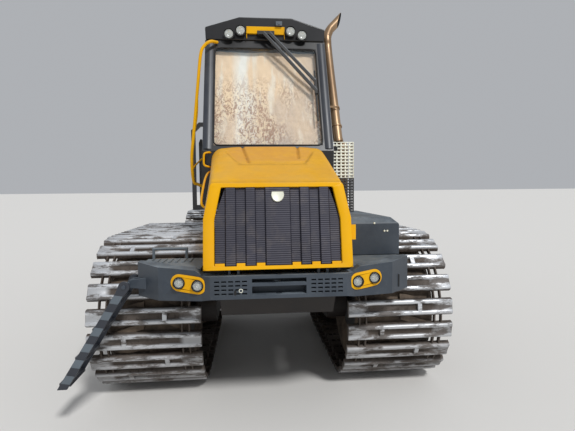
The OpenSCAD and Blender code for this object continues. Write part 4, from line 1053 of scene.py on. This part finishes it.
bowls = joined(turned(BOWL, 0.048, ROOF_LAMPS, 0.006), turned(BOWL, 0.034, HEAD_LAMPS, 0.002))
panes = joined(turned(GLASS_DISC, 0.050, ROOF_LAMPS, 0.001),
               turned(GLASS_DISC, 0.035, HEAD_LAMPS, -0.004))
piece("roof_lamp_pots", turned(POT, 0.066, ROOF_LAMPS), BLACK, "lamps", ["lamps"], angle=40)
piece("lamp_bowls", bowls, CHROME, "lamps", angle=40)
piece("lamp_lenses", panes, LENS, "lamps", angle=40)
piece("lamp_bezels", turned(BEZEL, 0.04, HEAD_LAMPS), BLACK, "lamps", angle=40)


# %% [markdown]
# An amber plate of bent sheet frames each pair of headlamps on the bumper's swept face, and between
# the roof lamps sit a yellow panel and a camera. A plate could be cut from a box by boolean
# shapes; an outline of two half circles is simpler, and it follows the lamps when they move.

# %% Amber plates round the headlamps
# The bumper's swept face: its inner corner, and how far it runs back for each metre across
WING_X, WING_Y, WING_SLOPE = 0.570, -4.90, 0.303


def on_wing(outline, out):
    """From an (x, z) outline and a distance out to places on the swept face."""
    x, z = outline.T
    return spread(x, WING_Y + (x - WING_X) * WING_SLOPE - out, z)


def lamp_surround():
    """A band round both lamps, and the waist between them: arcs that follow the lamps' edges."""
    (inner, _, low), (outer, _, high) = HEAD_LAMPS[1], HEAD_LAMPS[3]
    wide, close = (capsule((inner, low), (outer, high), r) for r in (0.064, 0.045))
    edges = ((wide, 0.0), (wide, 0.010), (close, 0.014), (close, 0.0))
    band = loft([on_wing(outline, out) for outline, out in edges], ends=False)
    a = np.linspace(-1.2, 1.2, 13)
    arc = 0.045 * np.column_stack([np.cos(a), np.sin(a)])
    waist = np.vstack([[inner, low] + arc, [outer, high] - arc])
    return joined(band, loft([on_wing(waist, 0.0), on_wing(waist, 0.012)]))


piece("amber_surrounds", both(lamp_surround()), YELLOW, "lamps", angle=40)

# %% Panel, legs and camera between the roof lamps
panel = box((-0.222, ROOF_FRONT - 0.022, 3.668), (0.222, ROOF_FRONT, 3.752))
leg = box((0.216, ROOF_FRONT - 0.022, 3.615), (0.222, ROOF_FRONT, 3.668))
camera_body = box((0.118, ROOF_FRONT - 0.05, 3.758), (0.192, ROOF_FRONT, 3.806))
eye = revolve([[-0.056, 0], [-0.056, 0.016], [-0.045, 0.016], [-0.045, 0]],
              (0.155, ROOF_FRONT, 3.782), 1, 24)
piece("roof_panel", joined(panel, both(leg)), YELLOW, "cab_roof", bevel=0.003)
piece("roof_camera", joined(camera_body, eye), DECK, "cab_roof", bevel=0.003)


# %% [markdown]
# The exhaust runs up beside the cab from a muffler behind a punched heat shield. A pipe could be
# a curve object with a bevel; here it is a circle carried along a smooth path, because its mouth's
# slant is then one more formula. The shield is a folded plate with a grid of real holes.

# %% Exhaust
EXHAUST_R = 0.053
MUFFLER = (0.835, -3.23)
bends = np.array([[0.81, -3.27, 2.36], [0.79, -3.288, 2.42], [0.784, -3.27, 2.485],
                  [0.771, -2.83, 3.448], [0.765, -2.765, 3.688], [0.772, -2.752, 3.753],
                  [0.81, -2.742, 3.829], [0.897, -2.728, 3.924], [0.989, -2.715, 4.018]])
path = smooth_path(bends, 10)
MOUTH_SIDE = np.array([0.76, -0.40, -0.50])
SLANT, SLANT_FROM = 1.8, 0.29


def exhaust_skin(less=0.0):
    """A round pipe whose mouth is cut on a long slant: near the end each point goes back along
    the pipe, by more the nearer it is to the end and to the cut's side."""
    points, faces = tube(path, EXHAUST_R - less, 24, ends=False)
    rings = points.reshape(len(path), 24, 3)
    steps = np.linalg.norm(np.diff(path, axis=0), axis=1)
    to_end = np.append(np.cumsum(steps[::-1])[::-1], 0)
    share = np.clip(1 - to_end / SLANT_FROM, 0, 1)
    end = (path[-1] - path[-2]) / steps[-1]
    towards = (rings[-1] - path[-1]) @ MOUTH_SIDE
    rings -= (share[:, None] * SLANT * (towards - towards.min()))[..., None] * end
    return rings.reshape(-1, 3), faces


muffler_rows = [[1.60, 0], [1.60, 0.07], [1.612, 0.078], [2.36, 0.078], [2.378, 0.066], [2.38, 0]]
muffler = revolve(muffler_rows, (*MUFFLER, 0), 2, 40)
piece("exhaust_tube", exhaust_skin(), EXHAUST, "exhaust_pipe", ["exhaust_pipe"],
      thick=0.004, angle=40)
piece("exhaust_soot", exhaust_skin(0.006), SOOT, "exhaust_pipe", thick=0.001, angle=40)
piece("muffler", muffler, EXHAUST, "exhaust_pipe", angle=40)
foot, length = bends[2], bends[3] - bends[2]
clamps = [rod(foot + length * t, foot + length * (t + 0.02), EXHAUST_R + 0.010, 24)
          for t in (0.07, 0.30)]
bracket = box((0.69, -3.22, 2.78), (0.80, -3.215, 2.802))
piece("exhaust_clamps", joined(*clamps, bracket), EXHAUST, "exhaust_pipe", bevel=0.002)


# %% Heat shield
def slot_lines(size, count, share):
    """The edges of count even slots, each a share of its pitch, and the plate's two ends."""
    pitch = size / count
    edges = (np.arange(count)[:, None] + np.array([1 - share, 1 + share]) / 2) * pitch
    return np.concatenate([[0], edges.ravel(), [size]])


def punched(place, wide, tall, cols, rows):
    """A plate with cols x rows slots. Its grid lines fall on the slots' edges, and every cell
    that is odd both ways is left out."""
    u, v = slot_lines(wide, cols, 0.66), slot_lines(tall, rows, 0.56)
    quads = np.array(grid_faces(len(v), len(u))).reshape(len(v) - 1, len(u) - 1, 4)
    i, j = np.indices(quads.shape[:2])
    kept = quads[~((i % 2 == 1) & (j % 2 == 1))].tolist()
    return place(*np.meshgrid(u, v)).reshape(-1, 3), kept


(GUARD_X, GUARD_Y, GUARD_FOOT), (GUARD_OUT, GUARD_BACK, GUARD_TOP) = corners("exhaust_guard")
PALE_FROM = 1.98


def shield_part(z0, z1, rows):
    """The front and the outer side of the shield between two heights."""
    def on_front(u, v):
        return spread(GUARD_X + 0.015 + u, GUARD_Y + 0.003, z0 + v)

    def on_side(u, v):
        return spread(GUARD_OUT - 0.003, GUARD_Y + 0.003 + u, z0 + v)

    return joined(punched(on_front, GUARD_OUT - GUARD_X - 0.018, z1 - z0, 5, rows),
                  punched(on_side, GUARD_BACK - GUARD_Y - 0.01, z1 - z0, 5, rows))


stays = [box((GUARD_X - 0.002, GUARD_Y + 0.001, z), (GUARD_X + 0.07, GUARD_Y + 0.006, z + 0.05))
         for z in (1.72, 2.28)]
piece("heat_shield", shield_part(PALE_FROM, GUARD_TOP, 11), BRIGHT, "exhaust_guard",
      ["exhaust_guard"], thick=0.003)
piece("lower_shield", shield_part(GUARD_FOOT, PALE_FROM, 12), CRANE, "exhaust_guard", thick=0.003)
piece("shield_stays", joined(*stays), BLACK, "exhaust_guard", bevel=0.001)


# %% [markdown]
# Yellow rails of bent tube lead up to the door and lie beside the hood. They could be drawn as
# curves; a list of each rail's bends and its radius say the same in one place.

# %% Rails
DOOR_RAIL = [[-0.68, -3.10, 1.88], [-0.80, -3.10, 1.925], [-0.85, -3.10, 1.97],
             [-0.865, -3.10, 2.22], [-0.842, -3.10, 2.45], [-0.82, -3.10, 2.65],
             [-0.778, -3.10, 3.05], [-0.74, -3.10, 3.38], [-0.70, -3.095, 3.48],
             [-0.63, -3.085, 3.535], [-0.56, -2.99, 3.56]]
BRACE = [[-0.858, -3.10, 2.10], [-0.80, -3.10, 2.17], [-0.70, -3.10, 2.255]]
SECOND_RAIL = [[-0.845, -3.10, 2.50], [-0.825, -3.06, 2.56], [-0.80, -3.03, 2.75],
               [-0.79, -3.03, 3.0], [-0.775, -3.06, 3.05]]
HANDLE = [[-0.61, -3.47, 2.25], [-0.63, -3.535, 2.25], [-0.672, -3.55, 2.235],
          [-0.68, -3.55, 2.18], [-0.676, -3.55, 2.12], [-0.63, -3.535, 2.10],
          [-0.61, -3.46, 2.10]]
HOOD_RAIL = [[-0.562, -3.60, 2.05], [-0.62, -3.63, 2.04], [-0.645, -3.75, 1.98],
             [-0.648, -3.95, 1.88], [-0.645, -4.15, 1.76], [-0.62, -4.20, 1.71],
             [-0.552, -4.21, 1.69]]


def rail(points, radius, sides=10):
    """A tube along a smooth curve through the bends."""
    return tube(smooth_path(points, 6), radius, sides)


rails = joined(rail(DOOR_RAIL, 0.018, 14), rail(BRACE, 0.0095), rail(SECOND_RAIL, 0.009),
               rail(HANDLE, 0.011))
piece("yellow_rails", rails, YELLOW, "handrails", ["handrails"], angle=60)
piece("hood_rail", rail(HOOD_RAIL, 0.011), YELLOW, "hood_shell", angle=60)
latch = box((0.548, -4.862, 1.47), (0.592, -4.854, 1.585))
piece("latch_tab", latch, YELLOW, "hood_shell", bevel=0.002)


# %% [markdown]
# Two wiper arms run down from a motor on the roof's front to one blade beside the screen. They
# could be placed in the frame's own axes, but flat bars are easier to set in the screen's
# leaning plane, where each is given by its two ends. A thin pale strip along each arm is a painted
# highlight.

# %% Wipers
def flat_arm(start, end, wide, deep, ahead=0.0):
    """A flat bar between two places, each across the screen, up it and out from it."""
    start, end = np.array(start), np.array(end)
    along = (end - start)[:2] / np.linalg.norm((end - start)[:2])
    side = wide / 2 * np.array([-along[1], along[0], 0])
    ring = np.array([start - side, end - side, end + side, start + side])
    return loft([on_screen(ring[:, 0], ring[:, 1], ring[:, 2] + ahead + d) for d in (0, deep)])


MOTOR_UP, BLADE_X = 1.475, 0.552
ARMS = (((-0.030, MOTOR_UP, 0.090), (0.555, 0.742, 0.022)),
        ((0.040, MOTOR_UP, 0.090), (0.545, 0.870, 0.026)))
motor = flat_arm((-0.10, MOTOR_UP, 0.055), (0.10, MOTOR_UP, 0.055), 0.05, 0.045)
blade = flat_arm((BLADE_X, 0.36, 0.004), (BLADE_X, 1.02, 0.004), 0.016, 0.014)
knuckle = flat_arm((BLADE_X, 0.70, 0.012), (BLADE_X, 0.90, 0.012), 0.030, 0.022)
bars = [flat_arm(start, end, 0.038, 0.012) for start, end in ARMS]
# Painted highlights: a thin pale strip along one edge of each arm
aside = np.array([0.012, 0.009, 0])
edges = [flat_arm(start + aside, end + aside, 0.005, 0.0015, 0.0125) for start, end in ARMS]
piece("wiper_set", joined(motor, blade, knuckle, *bars), BLACK, "wipers", ["wipers"], bevel=0.0015)
piece("wiper_highlights", joined(*edges), DECK, "wipers")


# %% [markdown]
# The rest is rigid steel whose solids are already right. They could be left as they are, but a CAD
# solid's edges are sharper than any real plate's, so copies with joined faces and rounded edges
# stand for them, in a finish with soil and wear.

# %% Frame, bunk and crane
# From front to rear and out along the crane: a finish, the nodes that have it, and how wide each
# node's rounded edges are
RIGID = [
    (DECK, {"decks": 0.002}),
    (BUMPER, {"deck_box": 0.01}),
    (FRAME, {"front_frame": 0.003, "front_axle": 0.006}),
    (IRON, {"engine": 0.01}),
    (FRAME, {"centre_yoke": 0.004, "rear_frame": 0.004, "rear_axle": 0.006}),
    (CRANE, {"bunk": 0.005, "gate": 0.004}),
    (FRAME, {"crane_base": 0.006}),
    (YELLOW, {"pillar": 0.006, "main_boom": 0.005, "outer_boom": 0.004, "extension": 0.003}),
    (CRANE, {"lift_barrel": 0.003, "jib_barrel": 0.003}),
    (CHROME, {"lift_rod": 0.002, "jib_rod": 0.002}),
    (CRANE, {"hanger": 0.003, "rotator": 0.004, "grapple_frame": 0.003, "jaw_a": 0.003,
             "jaw_b": 0.003, "steer_barrel_left": 0.002, "steer_barrel_right": 0.002}),
    (CHROME, {"steer_rod_left": 0.002, "steer_rod_right": 0.002}),
]
for finish, widths in RIGID:
    for node, bevel in widths.items():
        softened(node, finish, bevel)

# %% Bumper
# Its face is held 1 mm back, which leaves room inside the frame's box for thin trim on it
FACE_Y = BUMPER_FRONT + 0.001
bumper = softened("bumper", BUMPER, 0.005)
points = read_points(bumper)
points[:, 1] = np.maximum(points[:, 1], FACE_Y)
bumper.data.vertices.foreach_set("co", points.ravel())


# %% [markdown]
# The ladder hangs from the bumper's end: two slim stringers with level treads. From the front, lit
# and shaded stretches take turns down the stringer: pale plates are painted light for the lit ones,
# and the dark stringer between them stands for the shaded ones. A texture could paint that; a row of
# thin plates gives it an edge too. Each part has its place by its distance down the stringer.

# %% Ladder
LADDER_PIN, LADDER_LEAN, LADDER_Y = np.array([-1.155, 1.137]), np.radians(31.8), -4.64
LADDER_L, STRINGER, LADDER_HALF, PIN_R = 0.92, 0.031, 0.15, 0.042


def on_ladder(x, drop):
    """From (across the stringer, down along it) to (x, z) places in the frame."""
    c, s = np.cos(LADDER_LEAN), np.sin(LADDER_LEAN)
    x, drop = np.asarray(x, float), np.asarray(drop, float)
    return LADDER_PIN + spread(x * c - drop * s, -x * s - drop * c)


def stringer(y):
    """A flat bar, round at its pin, with its foot cut level with the ground."""
    a = np.linspace(np.pi, 2 * np.pi, 13)
    foot, end = STRINGER * np.tan(LADDER_LEAN), LADDER_L - 0.02
    x = np.concatenate([PIN_R * np.cos(a), [STRINGER, STRINGER, -STRINGER, -STRINGER]])
    drop = np.concatenate([PIN_R * np.sin(a), [0.07, end - foot, end + foot, 0.07]])
    return slab(on_ladder(x, drop), y - 0.01, y + 0.01)


def tread(drop):
    """A level step at a distance down the stringers."""
    x, z = on_ladder(0, drop)
    return box((x - 0.042, LADDER_Y - 0.14, z - 0.014), (x + 0.042, LADDER_Y + 0.14, z + 0.014))


def painted_light_plates(y, count=6):
    """Pale plates half a pitch long, down the stringer's front: painted light for its lit stretches.
    """
    pitch = (LADDER_L - 0.08) / count
    x = np.array([-1, 1, 1, -1]) * (STRINGER - 0.001)
    outline = np.array([0, 0, 0.5, 0.5]) * pitch - np.array([-1, 1, 1, -1]) * 0.012
    starts = 0.075 + pitch * np.arange(count)
    return joined(*(slab(on_ladder(x, start + outline), y, y + 0.004) for start in starts))


stringers = [stringer(LADDER_Y + sign * (LADDER_HALF - 0.01)) for sign in (-1, 1)]
treads = [tread(drop) for drop in (0.13, 0.38, 0.63, 0.86)]
piece("ladder_frame", joined(*stringers, *treads), POSTS, "ladder", ["ladder"], bevel=0.003)
piece("ladder_painted_light_plates", painted_light_plates(LADDER_Y - LADDER_HALF - 0.004), DECK, "ladder", bevel=0.001)


# %% [markdown]
# Last come small things that the eye looks for on a bumper: bolt heads on the deck box, a dark hole
# and slot, and a tie ring. They are too small to cut into the steel, so they lie on its face; the
# hole and the slot are black patches of painted shade.

# %% Bolts, holes and a tie ring
bolt = revolve([[0, 0], [0, 0.009], [-0.006, 0.008], [-0.008, 0]], (0, 0, 0), 1, 12)
box_low, box_high = corners("deck_box")
# Each bolt's share of the box's width, and its depth below the box's top
BOLTS = [(0.10, 0.05), (0.55, 0.05), (0.73, 0.12), (0.78, 0.12)]
box_bolts = [moved(bolt, (box_low[0] + share * (box_high[0] - box_low[0]), box_low[1] + 0.001,
                          box_high[2] - drop)) for share, drop in BOLTS]
piece("box_bolts", joined(*box_bolts), BRIGHT, "deck_box", angle=40)
# Painted shade: black patches stand for the dark insides of the hole and the slot
hole_shade = slab(capsule((-0.322, 1.098), (-0.322, 1.118), 0.009, 8), FACE_Y, FACE_Y - 0.0005)
slot_shade = box((0.973, -4.729, 1.065), (0.984, -4.70, 1.165))
piece("bumper_hole_shade", joined(hole_shade, slot_shade), BLACK, "bumper")
a = around(24)
ring = spread(-0.281 + 0.013 * np.cos(a), FACE_Y + 0.002, 1.122 + 0.013 * np.sin(a))
piece("tie_ring", tube(np.vstack([ring, ring[:2]]), 0.003, 8), BRIGHT, "bumper", angle=60)


# %% [markdown]
# The stage is a pale floor under soft daylight: one wide lamp for the sun and an even world. More
# lamps could flatter it, but plain light shows each colour about as it is written. The camera
# stands at eye height in front and a little to the machine's right.

# %% Floor and light
FLOOR_HALF = 600.0
square = FLOOR_HALF * np.array([[-1, -1, 0], [1, -1, 0], [1, 1, 0], [-1, 1, 0]])
ground = bpy.data.meshes.new("floor")
ground.from_pydata(square.tolist(), [], [(0, 1, 2, 3)])
pale = {"Base Color": colour(222, 220, 216), "Roughness": 0.9}
ground.materials.append(Finish("pale floor").shade(pale))
floor = bpy.data.objects.new("floor", ground)
scene.collection.objects.link(floor)

scene.world = bpy.data.worlds.new("sky")
scene.world.use_nodes = True
background = scene.world.node_tree.nodes["Background"]
background.inputs["Color"].default_value = (0.92, 0.95, 1.0, 1)
background.inputs["Strength"].default_value = 0.46

sun = bpy.data.lights.new("soft sun", "SUN")
sun.energy = 2.25
sun.angle = np.radians(9)
lamp = bpy.data.objects.new("soft sun", sun)
lamp.rotation_euler = np.radians([44, 0, 26])
scene.collection.objects.link(lamp)

# %% Camera
# Solved from the perspective: its place, its three turns and its focal length in pixels
CAMERA_AT = np.array([-0.198, -7.944, 1.85])
YAW, PITCH, ROLL = np.radians([5.0, 3.5, 0.55])
FOCAL_PX, IMAGE_W = 415.0, 575
ahead = np.array([np.sin(YAW) * np.cos(PITCH), np.cos(YAW) * np.cos(PITCH), -np.sin(PITCH)])
level = np.array([np.cos(YAW), -np.sin(YAW), 0])
upright = np.cross(level, ahead)
right = level * np.cos(ROLL) - upright * np.sin(ROLL)
upward = upright * np.cos(ROLL) + level * np.sin(ROLL)
camera = bpy.data.cameras.new("camera")
camera.sensor_width = 36
camera.lens = camera.sensor_width * FOCAL_PX / IMAGE_W
camera_obj = bpy.data.objects.new("camera", camera)
camera_obj.matrix_world = Matrix(
    [[*row, place] for row, place in zip(np.stack([right, upward, -ahead], -1), CAMERA_AT)]
    + [[0, 0, 0, 1]]
)
scene.collection.objects.link(camera_obj)
scene.camera = camera_obj
scene.view_settings.view_transform = "Standard"
